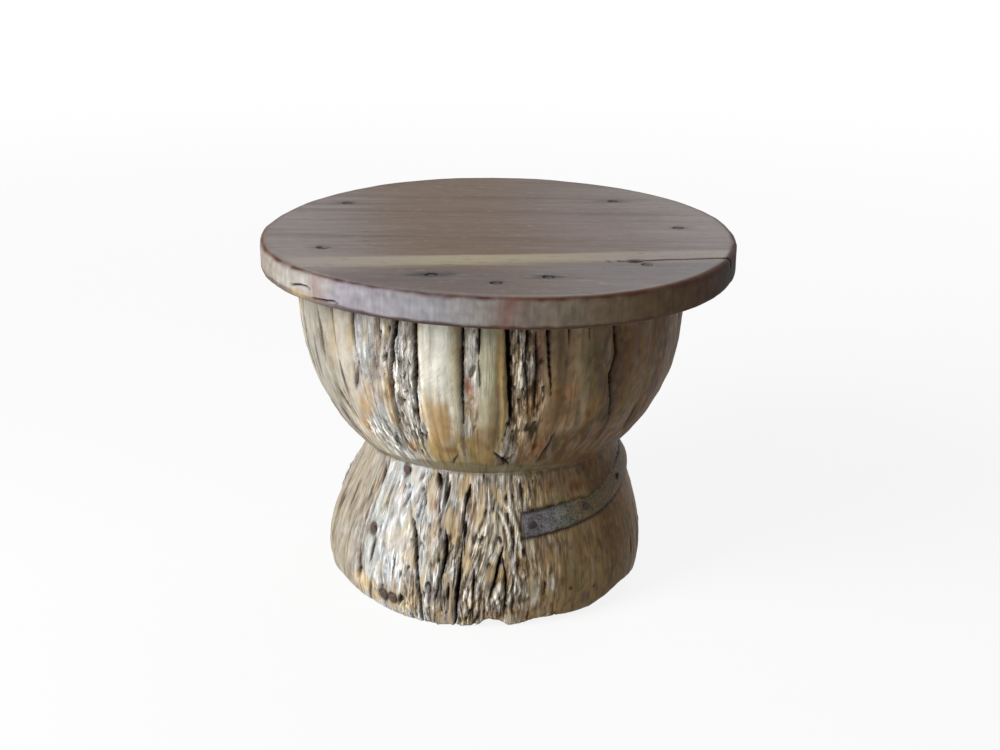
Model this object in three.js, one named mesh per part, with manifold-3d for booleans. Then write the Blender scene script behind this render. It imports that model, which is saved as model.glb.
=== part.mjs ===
// A low round table: an old wooden mortar stood upright, with a round plank nailed over its mouth.
// Millimetres, +Z up. The front faces -Y, and the origin lies on the floor under the top's middle.
// Angles are in degrees about the log's axis, from the front, positive to the right.

import * as THREE from "three";
import { mergeVertices } from "three/addons/utils/BufferGeometryUtils.js";
import Module from "manifold-3d";

const wasm = await Module();
wasm.setup();

const { degToRad, radToDeg, clamp, lerp, smoothstep, euclideanModulo } = THREE.MathUtils;

// The whole
const stoolHeight = 450;
const gap = 0.3; // clearance that two touching pieces keep

// The top: a hand-cut round plank. Its outline swells in waves, each with its size and its peak.
const topThickness = 37;
const topRadius = 297;
const topOval = { size: 4, peak: 6 };
const topLobes = { size: 4.2, peak: 49 };
const topCorners = { size: 2.7, peak: 27 };
const upperArris = 7;
const lowerArris = 7;
const topSides = 72;

// A split that runs in from the top's right edge through a small knot
const topSplit = { from: [310, -112], to: [112, -146], width: 2.8, depth: 11 };
const topKnot = { at: [155, -138], long: 19, wide: 13, depth: 5 };

// The log: a bowl above, a foot below, and a waist where they meet
const logOffset = { x: -12, y: -1 }; // from the top's middle to the log's axis
const rimRadius = 242;
const waistRadius = 161;
const waistHeight = 178.5;
const waistTilt = { size: 11.3, peak: 13 }; // the waist line climbs towards its peak
const waistShift = 4; // the waist sits this much to the right
const heelShift = -3.5; // and the foot's heel this much
const bellyRadius = 204.5; // the foot's widest girth
const bellyHeight = 34;
const heelRadius = 198; // the foot's edge on the floor
const bowlRoundness = 3; // more makes the bowl squarer
const footFlare = 1.2; // more makes the foot hollower under the waist
const bowlFlats = { size: 1.6, count: 7, turn: 40 };
const footFlats = { size: 3, count: 5, turn: 90 };
const shoulder = { angle: 95, height: 152, size: 6, turnSpread: 26, heightSpread: 16 }; // a swelling
const logSides = 96;
const bowlRows = 12;
const footRows = 10;

// The mortar's own hollow, closed by the plank
const hollowRadius = 165;
const hollowDepth = 190;
const hollowSides = 36;
const hollowRows = 8;

// Weathered relief: ribs of wood between the foot's splits, and proud panels and sunk strips on
// the bowl. Each is a bell across, as wide as its spread in degrees, and eases in and out.
const ribs = [
  { angle: -60, spread: 4.5, from: 12, to: 110, size: 1.8 },
  { angle: -44, spread: 5, from: 40, to: 150, size: 2 },
  { angle: -30, spread: 4, from: 12, to: 60, size: 2 },
  { angle: -19.5, spread: 3.4, from: 20, to: 145, size: 2.6 },
  { angle: -3, spread: 3.8, from: 30, to: 145, size: 2.6 },
  { angle: 10, spread: 3.6, from: 12, to: 92, size: 2.2 },
  { angle: 27, spread: 5, from: 12, to: 90, size: 1.6 },
  { angle: 112, spread: 6, from: 20, to: 120, size: 2.2 },
  { angle: 131, spread: 5, from: 12, to: 120, size: 2 },
  { angle: 170, spread: 6, from: 20, to: 145, size: 2.4 },
  { angle: 190, spread: 5, from: 12, to: 110, size: 2 },
  { angle: 218, spread: 6, from: 20, to: 145, size: 2.4 },
  { angle: 240, spread: 5, from: 12, to: 120, size: 2 },
  { angle: 276, spread: 5, from: 20, to: 130, size: 1.8 },
  { angle: -23.8, spread: 3.2, from: 235, to: 440, size: -2.2 },
  { angle: -15, spread: 4.4, from: 225, to: 440, size: 2 },
  { angle: 0.8, spread: 3.8, from: 225, to: 440, size: 2 },
  { angle: 10.4, spread: 4.2, from: 255, to: 440, size: -2.2 },
  { angle: -155, spread: 5, from: 255, to: 440, size: -2 },
  { angle: -91, spread: 5, from: 255, to: 440, size: -1.8 },
  { angle: 117, spread: 6, from: 255, to: 440, size: -2 },
];
const ribEase = 14; // a rib comes in or goes out over this much height each side of its end

// Worn bites out of the foot's lower edge
const edgeBites = [
  { angle: -66, width: 66, height: 8, depth: 24 },
  { angle: 3, width: 28, height: 12, depth: 30 },
  { angle: 21, width: 64, height: 6, depth: 26 },
  { angle: 60, width: 116, height: 22, depth: 30 },
  { angle: 150, width: 90, height: 14, depth: 26 },
  { angle: 232, width: 80, height: 10, depth: 26 },
];

// Drying splits. Each runs down the log through points of [angle, height].
const splits = [
  { run: [[-50, 425], [-49.7, 390], [-47.7, 336]], width: 3, depth: 14 },
  { run: [[-41, 425], [-41.1, 370], [-39, 316]], width: 2.6, depth: 12 },
  { run: [[-26.5, 425], [-26.8, 385], [-28.5, 335], [-28.3, 235]], width: 5, depth: 16 },
  { run: [[-20.6, 425], [-20.6, 368], [-20.8, 330], [-22.4, 222]], width: 6.5, depth: 18 },
  { run: [[-7.1, 425], [-7.1, 350], [-7.4, 264]], width: 4, depth: 18 },
  { run: [[4.4, 425], [5.5, 340], [6.7, 285], [4.2, 249]], width: 8, depth: 24 },
  { run: [[15.8, 425], [16.8, 350], [18, 306]], width: 4, depth: 14 },
  { run: [[34.5, 425], [37.6, 356], [36, 330], [40.4, 256]], width: 6, depth: 14 },
  { run: [[-53.5, 178], [-52.2, 160], [-50.7, 142]], width: 4, depth: 12 },
  { run: [[-34.2, 158], [-27.4, 114], [-25, 80], [-22.4, 29], [-22, -12]], width: 5, depth: 20 },
  { run: [[-15.2, 126], [-14.4, 94], [-15.5, 62]], width: 5, depth: 16 },
  { run: [[-8.5, 115], [-9.6, 48], [-10.9, -12]], width: 5, depth: 20 },
  { run: [[6.5, 110], [3.6, 73], [0.7, 38]], width: 4, depth: 14 },
  { run: [[-53.3, 76], [-52, 43], [-53.2, 22]], width: 4.5, depth: 14 },
  { run: [[-44.7, 40], [-46, 22], [-48, -8]], width: 3.5, depth: 12 },
  { run: [[108, 425], [109, 360], [106, 285]], width: 6, depth: 18 },
  { run: [[126, 425], [125, 350], [128, 250]], width: 7, depth: 20 },
  { run: [[166, 425], [167, 370], [165, 300]], width: 4, depth: 14 },
  { run: [[199, 425], [201, 350], [200, 265]], width: 6, depth: 18 },
  { run: [[248, 425], [247, 360], [249, 290]], width: 5, depth: 16 },
  { run: [[100, 118], [98, 60], [101, -12]], width: 4.5, depth: 16 },
  { run: [[156, 150], [158, 80], [155, 34]], width: 4.5, depth: 16 },
  { run: [[205, 140], [203, 70], [206, -12]], width: 5, depth: 18 },
  { run: [[262, 150], [264, 90], [262, 30]], width: 4.5, depth: 16 },
];
const splitSteps = 5;
const splitRoot = 0.35; // a split's width at its bottom, as a share of its width at the surface
const splitEnds = [0.12, 0.92]; // the stretch of a half wave that its width follows, end to end

// Nails: a flat head on a tapering shank
const nailSides = 10;
const topNail = { head: 5.5, thick: 2.4, shank: 2.6, tip: 1.2, length: 78 };
const logNail = { head: 5.6, thick: 3, shank: 2.4, tip: 1, length: 44 };
const strapNail = { head: 5, thick: 2.2, shank: 2.2, tip: 1, length: 34 };
const topNailSink = 1.2; // the heads lie this far under the top's face
const logNailProud = 1.4; // the heads stand this far out of the wood

// The top's nails: their angles, and how far in from the rim's outer face they go down
const topNails = [
  { angle: -124.3, inset: 9 },
  { angle: -63.7, inset: 21 },
  { angle: -17.5, inset: 26 },
  { angle: 1.7, inset: 8 },
  { angle: 17.3, inset: 20 },
  { angle: 50.1, inset: 8 },
  { angle: 95.7, inset: 8 },
  { angle: 135.5, inset: 12 },
];

// Old nails in the foot
const logNails = [
  { name: "waist_nail", angle: -38.1, height: 177.5 },
  { name: "foot_nail_left", angle: -47.2, height: 99 },
  { name: "foot_nail_low_1", angle: -38.5, height: 23 },
  { name: "foot_nail_low_2", angle: -33.8, height: 24.5 },
];

// The iron strap, let into the foot and climbing round its right side
const strapRun = [[14, 127.5], [41, 137], [65, 150], [90, 157], [116, 159]];
const strapWidth = 28;
const strapThickness = 3.2;
const strapProud = 1.6; // it stands this far out of the wood
const strapSteps = 22;
const strapNails = [0.035, 0.27, 0.53, 0.95]; // shares of the way along the strap

const topFloor = stoolHeight - topThickness;
const logHeight = topFloor - gap;

// A wave round the circle, at a turn in radians.
const wave = ({ size, peak }, count, turn) => size * Math.cos(count * (turn - degToRad(peak)));

// The plank's outline radius at a turn.
function outlineRadius(turn) {
  return topRadius + wave(topOval, 2, turn) + wave(topLobes, 3, turn) + wave(topCorners, 4, turn);
}

// The log's radius at a height, as if turned on a lathe.
function turnedRadius(height) {
  if (height > waistHeight) {
    const drop = Math.max(logHeight - height, 0) / (logHeight - waistHeight);
    return waistRadius + (rimRadius - waistRadius) * (1 - drop ** bowlRoundness);
  }
  if (height > bellyHeight) {
    const fall = (waistHeight - height) / (waistHeight - bellyHeight);
    return waistRadius + (bellyRadius - waistRadius) * Math.sin((fall * Math.PI) / 2) ** footFlare;
  }
  return bellyRadius - (bellyRadius - heelRadius) * (1 - height / bellyHeight) ** 2;
}

// The share of the waist's tilt and shift that reaches a height: none at the floor and the rim.
function waistShare(height) {
  return Math.min(height / waistHeight, (logHeight - height) / (logHeight - waistHeight));
}

// The turned radius with the hewn flats, the weathered relief and the waist's shift.
function hewnRadius(turn, height) {
  const share = waistShare(height);
  const { size, count, turn: start } = height > waistHeight ? bowlFlats : footFlats;
  const flat = size * Math.sqrt(1 - clamp(share, 0, 1)) * Math.cos(count * turn + degToRad(start));
  const aside = waistShift * share + heelShift * Math.max(1 - height / waistHeight, 0);
  const swell = height < waistHeight ? swelling(turn, height) : 0;
  const rough = ribbing(radToDeg(turn), height);
  return turnedRadius(height) + flat + swell + rough + aside * Math.sin(turn);
}

// The weathered relief at an angle and a height.
function ribbing(angle, height) {
  let total = 0;
  for (const { angle: middle, spread, from, to, size } of ribs) {
    const away = (euclideanModulo(angle - middle + 180, 360) - 180) / spread;
    const rise = smoothstep(height, from - ribEase, from + ribEase);
    const fall = smoothstep(height, to - ribEase, to + ribEase);
    total += size * Math.exp(-(away ** 2)) * (rise - fall);
  }
  return total;
}

// The swelling on the right of the foot: a smooth mound that dies away each way.
function swelling(turn, height) {
  const { angle, height: middle, size, turnSpread, heightSpread } = shoulder;
  const away = (radToDeg(turn) - angle) / turnSpread;
  const above = (height - middle) / heightSpread;
  return size * Math.exp(-(away ** 2) - above ** 2);
}

// The height on the tilted log of a turned height.
function tiltedHeight(turn, height) {
  return height + wave(waistTilt, 1, turn) * waistShare(height);
}

// The turned height of a height on the tilted log.
function turnedHeight(turn, height) {
  const rise = wave(waistTilt, 1, turn);
  if (height < waistHeight + rise) return (height * waistHeight) / (waistHeight + rise);
  const bowlHeight = logHeight - waistHeight;
  return logHeight - ((logHeight - height) * bowlHeight) / (bowlHeight - rise);
}

// The log's outer radius at an angle and a height above the floor.
function logRadius(angle, height) {
  const turn = degToRad(angle);
  return hewnRadius(turn, turnedHeight(turn, clamp(height, 0, logHeight)));
}

// A point at an angle, a radius and a height about the log's axis.
function aroundLog(angle, radius, height) {
  const turn = degToRad(angle);
  const { x, y } = logOffset;
  return new THREE.Vector3(x + radius * Math.sin(turn), y - radius * Math.cos(turn), height);
}

// The direction straight out of the log at an angle.
const outward = (angle) => aroundLog(angle, 1, 0).sub(aroundLog(angle, 0, 0));

// A closed geometry as a solid that can be cut.
function solid(geometry) {
  const bare = geometry.clone();
  bare.deleteAttribute("normal");
  bare.deleteAttribute("uv");
  const merged = mergeVertices(bare, 1e-4);
  const vertProperties = merged.attributes.position.array;
  const triVerts = new Uint32Array(merged.index.array);
  return new wasm.Manifold(new wasm.Mesh({ numProp: 3, vertProperties, triVerts }));
}

// A solid as a flat-shaded geometry.
function geometryOf(body) {
  const mesh = body.getMesh();
  const shared = new THREE.BufferGeometry();
  shared.setAttribute("position", new THREE.BufferAttribute(mesh.vertProperties, 3));
  shared.setIndex(new THREE.BufferAttribute(mesh.triVerts, 1));
  const geometry = shared.toNonIndexed();
  geometry.computeVertexNormals();
  return geometry;
}

// A body with the shapes of a list taken out of it.
const cutBy = (body, cutters) => cutters.reduce((left, cutter) => left.subtract(solid(cutter)), body);

// Moves each corner of a geometry to where a function of its place puts it.
function reshape(geometry, place) {
  const corners = geometry.attributes.position;
  const corner = new THREE.Vector3();
  for (let i = 0; i < corners.count; i++) {
    const moved = place(corner.fromBufferAttribute(corners, i));
    corners.setXYZ(i, moved.x, moved.y, moved.z);
  }
  return geometry;
}

// A profile of [radius, height] points turned about the upright axis.
function turned(profile, sides) {
  const points = profile.map(([radius, height]) => new THREE.Vector2(radius, height));
  return new THREE.LatheGeometry(points, sides).rotateX(Math.PI / 2);
}

// The turn of a point about the upright axis, from the front.
const turnOf = (point) => Math.atan2(point.x, -point.y);

// A smooth run over the log through points of [angle, height].
const runOf = (points) => new THREE.SplineCurve(points.map((point) => new THREE.Vector2(...point)));

// A bar bent over the log along a run. It reaches from an inner to an outer distance from the
// wood's surface. Its width is a function of the share along it and of the share outward, and
// endGap is left free at both ends of the run.
function bentBar(run, steps, inner, outer, widthAt, endGap = 0) {
  const free = endGap / run.getLength();
  return reshape(new THREE.BoxGeometry(1, 1, 1, steps, 1, 1), (corner) => {
    const along = corner.x + 0.5;
    const out = corner.z + 0.5;
    const share = lerp(free, 1 - free, along);
    const { x: angle, y: height } = run.getPointAt(share);
    const radius = logRadius(angle, height);
    const heading = run.getTangentAt(share);
    heading.x = degToRad(heading.x) * radius;
    heading.normalize();
    const across = corner.y * widthAt(along, out);
    const aside = radToDeg((-heading.y * across) / radius);
    return aroundLog(angle + aside, radius + lerp(inner, outer, out), height + heading.x * across);
  });
}

// A nail, point down, with the face of its head at height 0.
function nailShape({ head, thick, shank, tip, length }) {
  const point = [[0, -length], [tip, -length]];
  return turned([...point, [shank, -thick], [head, -thick], [head, 0], [0, 0]], nailSides);
}

// The hole for a nail. It runs on past the head, as wide as the head or only as the shank.
function holeShape({ head, thick, shank, tip, length }, sunkHead) {
  const floor = -length - gap;
  const ledge = -thick - gap;
  const mouth = sunkHead ? head + gap : shank + gap;
  const over = head + thick;
  const shankHole = [[0, floor], [tip + gap, floor]];
  if (sunkHead) shankHole.push([shank + gap, ledge]);
  return turned([...shankHole, [mouth, ledge], [mouth, over], [0, over]], nailSides);
}

// A shape made about the upright axis, turned to face along a direction and moved to a place.
function stood(geometry, place, facing) {
  const turn = new THREE.Quaternion().setFromUnitVectors(new THREE.Vector3(0, 0, 1), facing);
  return geometry.applyQuaternion(turn).translate(place.x, place.y, place.z);
}

// Every nail of one kind: its name, the middle of its head's face, and the way it faces
const up = new THREE.Vector3(0, 0, 1);
const topFixings = topNails.map(({ angle, inset }, index) => {
  const radius = logRadius(angle, logHeight) - inset;
  const place = aroundLog(angle, radius, stoolHeight - topNailSink);
  return { name: "top_nail_" + (index + 1), nail: topNail, place, facing: up };
});
const logFixings = logNails.map(({ name, angle, height }) => {
  const place = aroundLog(angle, logRadius(angle, height) + logNailProud, height);
  return { name, nail: logNail, place, facing: outward(angle) };
});
const strapPath = runOf(strapRun);
const strapFixings = strapNails.map((share, index) => {
  const { x: angle, y: height } = strapPath.getPointAt(share);
  const face = logRadius(angle, height) + strapProud + gap + strapNail.thick;
  const place = aroundLog(angle, face, height);
  return { name: "strap_nail_" + (index + 1), nail: strapNail, place, facing: outward(angle) };
});
const holesFor = (fixings, sunkHead) =>
  fixings.map(({ nail, place, facing }) => stood(holeShape(nail, sunkHead), place, facing));

// The plank: a turned disc with rounded arrises, stretched to its hand-cut outline
function plank() {
  const edge = new THREE.Path();
  edge.moveTo(0, topFloor);
  edge.lineTo(topRadius - lowerArris, topFloor);
  edge.absarc(topRadius - lowerArris, topFloor + lowerArris, lowerArris, -Math.PI / 2, 0);
  edge.absarc(topRadius - upperArris, stoolHeight - upperArris, upperArris, 0, Math.PI / 2);
  edge.lineTo(0, stoolHeight);
  const profile = edge.getPoints(2).map(({ x, y }) => [Math.max(x, 0), y]);
  const disc = reshape(turned(profile, topSides), (point) => {
    const stretch = outlineRadius(turnOf(point)) / topRadius;
    return point.set(point.x * stretch, point.y * stretch, point.z);
  });
  return cutBy(solid(disc), [splitCutter(), knotCutter(), ...holesFor(topFixings, true)]);
}

// The split in the top narrows from the edge to its end.
function splitCutter() {
  const from = new THREE.Vector2(...topSplit.from);
  const to = new THREE.Vector2(...topSplit.to);
  const heading = to.clone().sub(from);
  const wedge = new THREE.BoxGeometry(heading.length(), topSplit.width, 2 * topSplit.depth);
  reshape(wedge, (corner) => (corner.x > 0 ? corner.setY(corner.y * splitRoot) : corner));
  wedge.rotateZ(heading.angle());
  return wedge.translate((from.x + to.x) / 2, (from.y + to.y) / 2, stoolHeight);
}

function knotCutter() {
  const { at, long, wide, depth } = topKnot;
  return new THREE.SphereGeometry(1, 12, 8).scale(long / 2, wide / 2, depth).translate(...at, stoolHeight);
}

// The log: a turned shape, hewn and tilted, with its hollow, bites, splits, strap bed and holes
function log() {
  const rows = (count, low, high) =>
    Array.from({ length: count }, (_, row) => lerp(low, high, row / count));
  const heights = [...rows(footRows, 0, waistHeight), ...rows(bowlRows, waistHeight, logHeight)];
  const sides = [...heights, logHeight].map((height) => [turnedRadius(height), height]);
  const profile = [[0, 0], ...sides, [0, logHeight]];
  const shell = reshape(turned(profile, logSides), (point) => {
    const reach = Math.hypot(point.x, point.y);
    const turn = turnOf(point);
    const radius = reach > 1 ? hewnRadius(turn, point.z) : 0;
    return aroundLog(radToDeg(turn), radius, tiltedHeight(turn, point.z));
  });
  const strapBed = bentBar(
    strapPath,
    strapSteps,
    strapProud - strapThickness - gap,
    strapThickness,
    () => strapWidth + 2 * gap,
  );
  return cutBy(solid(shell), [
    hollowCutter(),
    ...edgeBites.map(biteCutter),
    ...splits.map(splitBlade),
    strapBed,
    ...holesFor(topFixings, true),
    ...holesFor(logFixings, true),
    ...holesFor(strapFixings, false),
  ]);
}

// Half an ellipse turned about the log's axis, run on above the rim.
function hollowCutter() {
  const over = 10;
  const profile = [[0, logHeight + over], [hollowRadius, logHeight + over]];
  for (let row = 0; row <= hollowRows; row++) {
    const turn = (row / hollowRows) * (Math.PI / 2);
    profile.push([hollowRadius * Math.cos(turn), logHeight - hollowDepth * Math.sin(turn)]);
  }
  profile[profile.length - 1][0] = 0;
  return turned(profile.reverse(), hollowSides).translate(logOffset.x, logOffset.y, 0);
}

// An egg-shaped bite, centred on the foot's lower edge.
function biteCutter({ angle, width, height, depth }) {
  const bite = new THREE.SphereGeometry(1, 16, 8).scale(width / 2, depth, height);
  return bite.rotateZ(degToRad(angle)).translate(...aroundLog(angle, logRadius(angle, 0), 0));
}

// A split is widest near its middle, and narrows inward.
function splitBlade({ run, width, depth }) {
  const swell = (along) => Math.sin(Math.PI * lerp(splitEnds[0], splitEnds[1], along));
  const widthAt = (along, out) => width * swell(along) * lerp(splitRoot, 1, out);
  return bentBar(runOf(run), splitSteps, -depth, width, widthAt);
}

// The strap: a flat bar bent into its bed
function strap() {
  const inner = strapProud - strapThickness;
  const bar = bentBar(strapPath, strapSteps, inner, strapProud, () => strapWidth, gap);
  return cutBy(solid(bar), holesFor(strapFixings, false));
}

const paint = (color, roughness, metalness = 0) => () =>
  new THREE.MeshStandardMaterial({ color, roughness, metalness });
const plankWood = paint(0x857565, 0.6);
const logWood = paint(0xa89873, 0.85);
const darkIron = paint(0x4b4a46, 0.7, 0.6);
const rustyIron = paint(0x4a3d38, 0.8, 0.5);

const stool = new THREE.Group();

function add(name, geometry, material) {
  const mesh = new THREE.Mesh(geometry, material());
  mesh.name = name;
  stool.add(mesh);
}

add("mortar_body", geometryOf(log()), logWood);
add("table_top", geometryOf(plank()), plankWood);
add("iron_strap", geometryOf(strap()), darkIron);
for (const { name, nail, place, facing } of [...topFixings, ...logFixings, ...strapFixings])
  add(name, stood(nailShape(nail), place, facing), rustyIron);

// The outline isn't quite even about its own centre, so the whole is moved to put the middle of
// the top's box over the origin.
const topBox = new THREE.Box3().setFromObject(stool.getObjectByName("table_top"));
const middle = topBox.getCenter(new THREE.Vector3());
stool.position.set(-middle.x, -middle.y, 0);

export default stool;
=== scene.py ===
# %% [markdown]
# # A low table made from an old wooden mortar
#
# The real object is one hewn log, a grain mortar with a bowl above and a foot below. A round plank
# is nailed over its mouth, and an iron strap holds the foot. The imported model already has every
# piece at its real size, so this script leaves sizes alone and makes the surfaces: weathered wood,
# drying splits, worn edges and rust.
#
# All shapes here are worked out in millimetres, as the maker would measure them. They become
# metres in one place, where a mesh is built.

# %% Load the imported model
import math
from types import SimpleNamespace

import bpy
import numpy as np
from mathutils import Matrix, Vector


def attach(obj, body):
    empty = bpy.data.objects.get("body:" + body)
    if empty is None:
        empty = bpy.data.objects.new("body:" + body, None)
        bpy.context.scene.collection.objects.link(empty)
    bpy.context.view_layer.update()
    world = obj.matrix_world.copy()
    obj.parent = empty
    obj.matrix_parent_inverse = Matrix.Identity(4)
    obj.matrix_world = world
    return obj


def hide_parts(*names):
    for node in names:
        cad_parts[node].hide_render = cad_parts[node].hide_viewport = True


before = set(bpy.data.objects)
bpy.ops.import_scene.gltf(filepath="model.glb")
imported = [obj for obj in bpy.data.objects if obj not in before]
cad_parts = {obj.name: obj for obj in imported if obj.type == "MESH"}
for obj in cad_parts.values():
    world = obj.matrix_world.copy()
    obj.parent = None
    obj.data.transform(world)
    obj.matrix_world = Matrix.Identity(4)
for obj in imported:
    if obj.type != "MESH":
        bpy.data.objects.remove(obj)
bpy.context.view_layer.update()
MM = 0.001
print("pieces in the packed model:", len(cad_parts))

# %% [markdown]
# ## The camera
#
# The photograph looks down a little and is turned by less than a degree. Its lens was found by
# fitting the plank's outline and the log's height, so the camera is given as a pitch, a distance
# and a point that it looks at. The shift slides the picture without turning the camera.

# %% The camera
PITCH = math.radians(20.64)
ROLL = math.radians(0.88)
CAMERA_DISTANCE = 2.0116
LENS = 55.80
SHIFT = (0.00135, 0.0301)
LOOK_AT = Vector((0.0026, -0.0032, 0.21625))


def photo_camera():
    """A camera on the line that leaves LOOK_AT backwards, pitched down and rolled about it."""
    data = bpy.data.cameras.new("photo_camera")
    data.lens = LENS
    data.shift_x, data.shift_y = SHIFT
    data.clip_end = 100
    forward = Vector((0, math.cos(PITCH), -math.sin(PITCH)))
    turn = Matrix.Rotation(math.pi / 2 - PITCH, 4, "X") @ Matrix.Rotation(ROLL, 4, "Z")
    camera = bpy.data.objects.new("photo_camera", data)
    camera.matrix_world = Matrix.Translation(LOOK_AT - forward * CAMERA_DISTANCE) @ turn
    bpy.context.scene.collection.objects.link(camera)
    return camera


bpy.context.scene.camera = photo_camera()
print("camera at", [round(x, 3) for x in bpy.context.scene.camera.matrix_world.translation])

# %% [markdown]
# ## Chance that can be repeated
#
# Weathered wood is uneven at every scale. Gradient noise gives that: a random slope at each corner
# of a cubic lattice, blended smoothly between the corners. Squeezing the lattice across the grain
# and stretching it along the grain turns even noise into fibres. The slopes are seeded, so the
# wood comes out the same each time.

# %% Noise and a few small helpers
_dice = np.random.RandomState(11)
SHUFFLE = np.concatenate([_dice.permutation(256)] * 3)
SLOPES = _dice.normal(size=(256, 3))
SLOPES /= np.linalg.norm(SLOPES, axis=1)[:, None]


def noise(points, size=1.0, seed=0):
    """Smooth noise from about -1 to 1 on a lattice of this size (a number, or one for each axis).

    At each of a cell's eight corners a random slope gives slope . (point - corner). The eight are
    blended by the curve 6t^5 - 15t^4 + 10t^3 of the point's place in the cell. A seed moves the
    points on by 17.3 cells.
    """
    place = points / np.asarray(size, float) + 17.3 * seed
    cell = np.floor(place).astype(int)
    inside = place - cell
    fade = inside**3 * (inside * (6 * inside - 15) + 10)
    total = np.zeros(place.shape[:-1])
    for corner in np.ndindex(2, 2, 2):
        x, y, z = np.moveaxis((cell + corner) & 255, -1, 0)
        slope = SLOPES[SHUFFLE[SHUFFLE[SHUFFLE[x] + y] + z]]
        weight = np.where(corner, fade, 1 - fade).prod(axis=-1)
        total += weight * (slope * (inside - corner)).sum(axis=-1)
    return 1.5 * total


def smooth(low, high, value):
    """From 0 at low to 1 at high along the curve 3t^2 - 2t^3."""
    t = np.clip((value - low) / (high - low), 0, 1)
    return t * t * (3 - 2 * t)


def bump(off, half):
    """A bell: 1 in the middle, about a third at half, and nearly 0 at twice that."""
    return np.exp(-((off / half) ** 2))


def turned_by(degrees):
    """The same angle between -180 and 180 degrees."""
    return (degrees + 180) % 360 - 180


def linear(code):
    """A colour written as six hex digits, as the linear values that a shader works in."""
    part = np.array([int(code[i : i + 2], 16) / 255 for i in (0, 2, 4)])
    return np.where(part <= 0.04045, part / 12.92, ((part + 0.055) / 1.055) ** 2.4)


class Paint:
    """A colour at each point. A coat moves it towards another colour, by a share at each point."""

    def __init__(self, colour):
        self.colour = colour

    def coat(self, other, share):
        other = linear(other) if isinstance(other, str) else other
        self.colour = self.colour + (other - self.colour) * np.clip(share, 0, 1)[..., None]


def read_ramp(ramp, place):
    """A linear colour at each place, from a list of places and colours."""
    places, codes = zip(*ramp)
    parts = np.array([linear(code) for code in codes]).T
    return np.stack([np.interp(place, places, part) for part in parts], axis=-1)


print("noise from", noise(np.random.RandomState(1).uniform(0, 50, (4000, 3))).min().round(2))

# %% [markdown]
# ## From rows of points to a closed mesh
#
# The log, the plank and the nails are all round, so each is a stack of rings between two poles.
# The rings are one array of shape (rings, columns, 3), and the faces come from index arithmetic.
# Columns run round from the back, and rings run from the underside out, up and in again, so every
# face points outwards.

# %% The mesh builder


def mesh_of_rings(name, rings, **attributes):
    """A closed mesh: a fan at each pole, and four-sided faces between one ring and the next.

    Each pole is the mean of its ring. An attribute is an array with a value for each point of the
    rings: one number, or three for a place or a linear colour. The poles take their ring's mean.
    """
    count, columns = rings.shape[:2]

    def with_poles(values):
        rows = values.reshape(count, columns, -1)
        flat = values.reshape(count * columns, -1)
        return np.concatenate([rows[:1].mean(axis=1), flat, rows[-1:].mean(axis=1)])

    points = with_poles(rings) * MM
    this = np.arange(columns)
    after = np.roll(this, -1)
    row = 1 + columns * np.arange(count - 1)[:, None]
    quads = np.stack([row + this, row + after, row + columns + after, row + columns + this], -1)
    last_row = 1 + columns * (count - 1)
    top = len(points) - 1
    low_fan = np.stack([1 + after, 1 + this, np.zeros_like(this)], -1)
    high_fan = np.stack([last_row + this, last_row + after, np.full_like(this, top)], -1)
    corners = np.concatenate([quads.ravel(), low_fan.ravel(), high_fan.ravel()])
    sizes = np.concatenate([np.full(quads.size // 4, 4), np.full(2 * columns, 3)])
    mesh = bpy.data.meshes.new(name)
    mesh.vertices.add(len(points))
    mesh.vertices.foreach_set("co", points.astype(np.float32).ravel())
    mesh.loops.add(len(corners))
    mesh.loops.foreach_set("vertex_index", corners.astype(np.int32))
    mesh.polygons.add(len(sizes))
    starts = np.concatenate([[0], sizes.cumsum()[:-1]])
    mesh.polygons.foreach_set("loop_start", starts.astype(np.int32))
    mesh.update(calc_edges=True)
    mesh.validate()
    mesh.shade_smooth()
    for key, values in attributes.items():
        flat = with_poles(values).astype(np.float32)
        kind, field = ("FLOAT_VECTOR", "vector") if flat.shape[1] == 3 else ("FLOAT", "value")
        mesh.attributes.new(key, kind, "POINT").data.foreach_set(field, flat.ravel())
    return mesh


def piece(name, mesh, finish, slot, *nodes):
    """Makes a piece of the object: it rides on the body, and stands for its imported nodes."""
    made = bpy.data.objects.new(name, mesh)
    bpy.context.scene.collection.objects.link(made)
    mesh.materials.clear()
    mesh.materials.append(finish)
    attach(made, "root")
    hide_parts(*nodes)
    triangles = sum(len(face.vertices) - 2 for face in mesh.polygons)
    print(f"{name}: {triangles} triangles")


# %% [markdown]
# ## Materials written as sums
#
# A material is a web of nodes. Written as Python expressions it is much easier to read: a small
# class wraps a node's output, and its operators add the Math nodes. Everything else goes through
# one method, node(), which makes any node, sets its settings and fills its inputs. A web of nodes
# belongs to a material or to the world.

# %% A small language for materials


class Signal:
    """One output of a node. The operators +, - and * and abs() on it add Math nodes."""

    def __init__(self, web, socket):
        self.web = web
        self.socket = socket

    def maths(self, operation, first, second=0.0):
        return self.web.node("ShaderNodeMath", {"operation": operation}, {0: first, 1: second})

    def __add__(self, other):
        return self.maths("ADD", self, other)

    def __sub__(self, other):
        return self.maths("SUBTRACT", self, other)

    def __rsub__(self, other):
        return self.maths("SUBTRACT", other, self)

    def __mul__(self, other):
        return self.maths("MULTIPLY", self, other)

    def __abs__(self):
        return self.maths("ABSOLUTE", self)

    __radd__ = __add__
    __rmul__ = __mul__

    def between(self, low, high):
        """From 0 where the signal is low to 1 where it is high, eased at both ends."""
        settings = {"interpolation_type": "SMOOTHSTEP"}
        inputs = {"Value": self, "From Min": low, "From Max": high}
        return self.web.node("ShaderNodeMapRange", settings, inputs)


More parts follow.
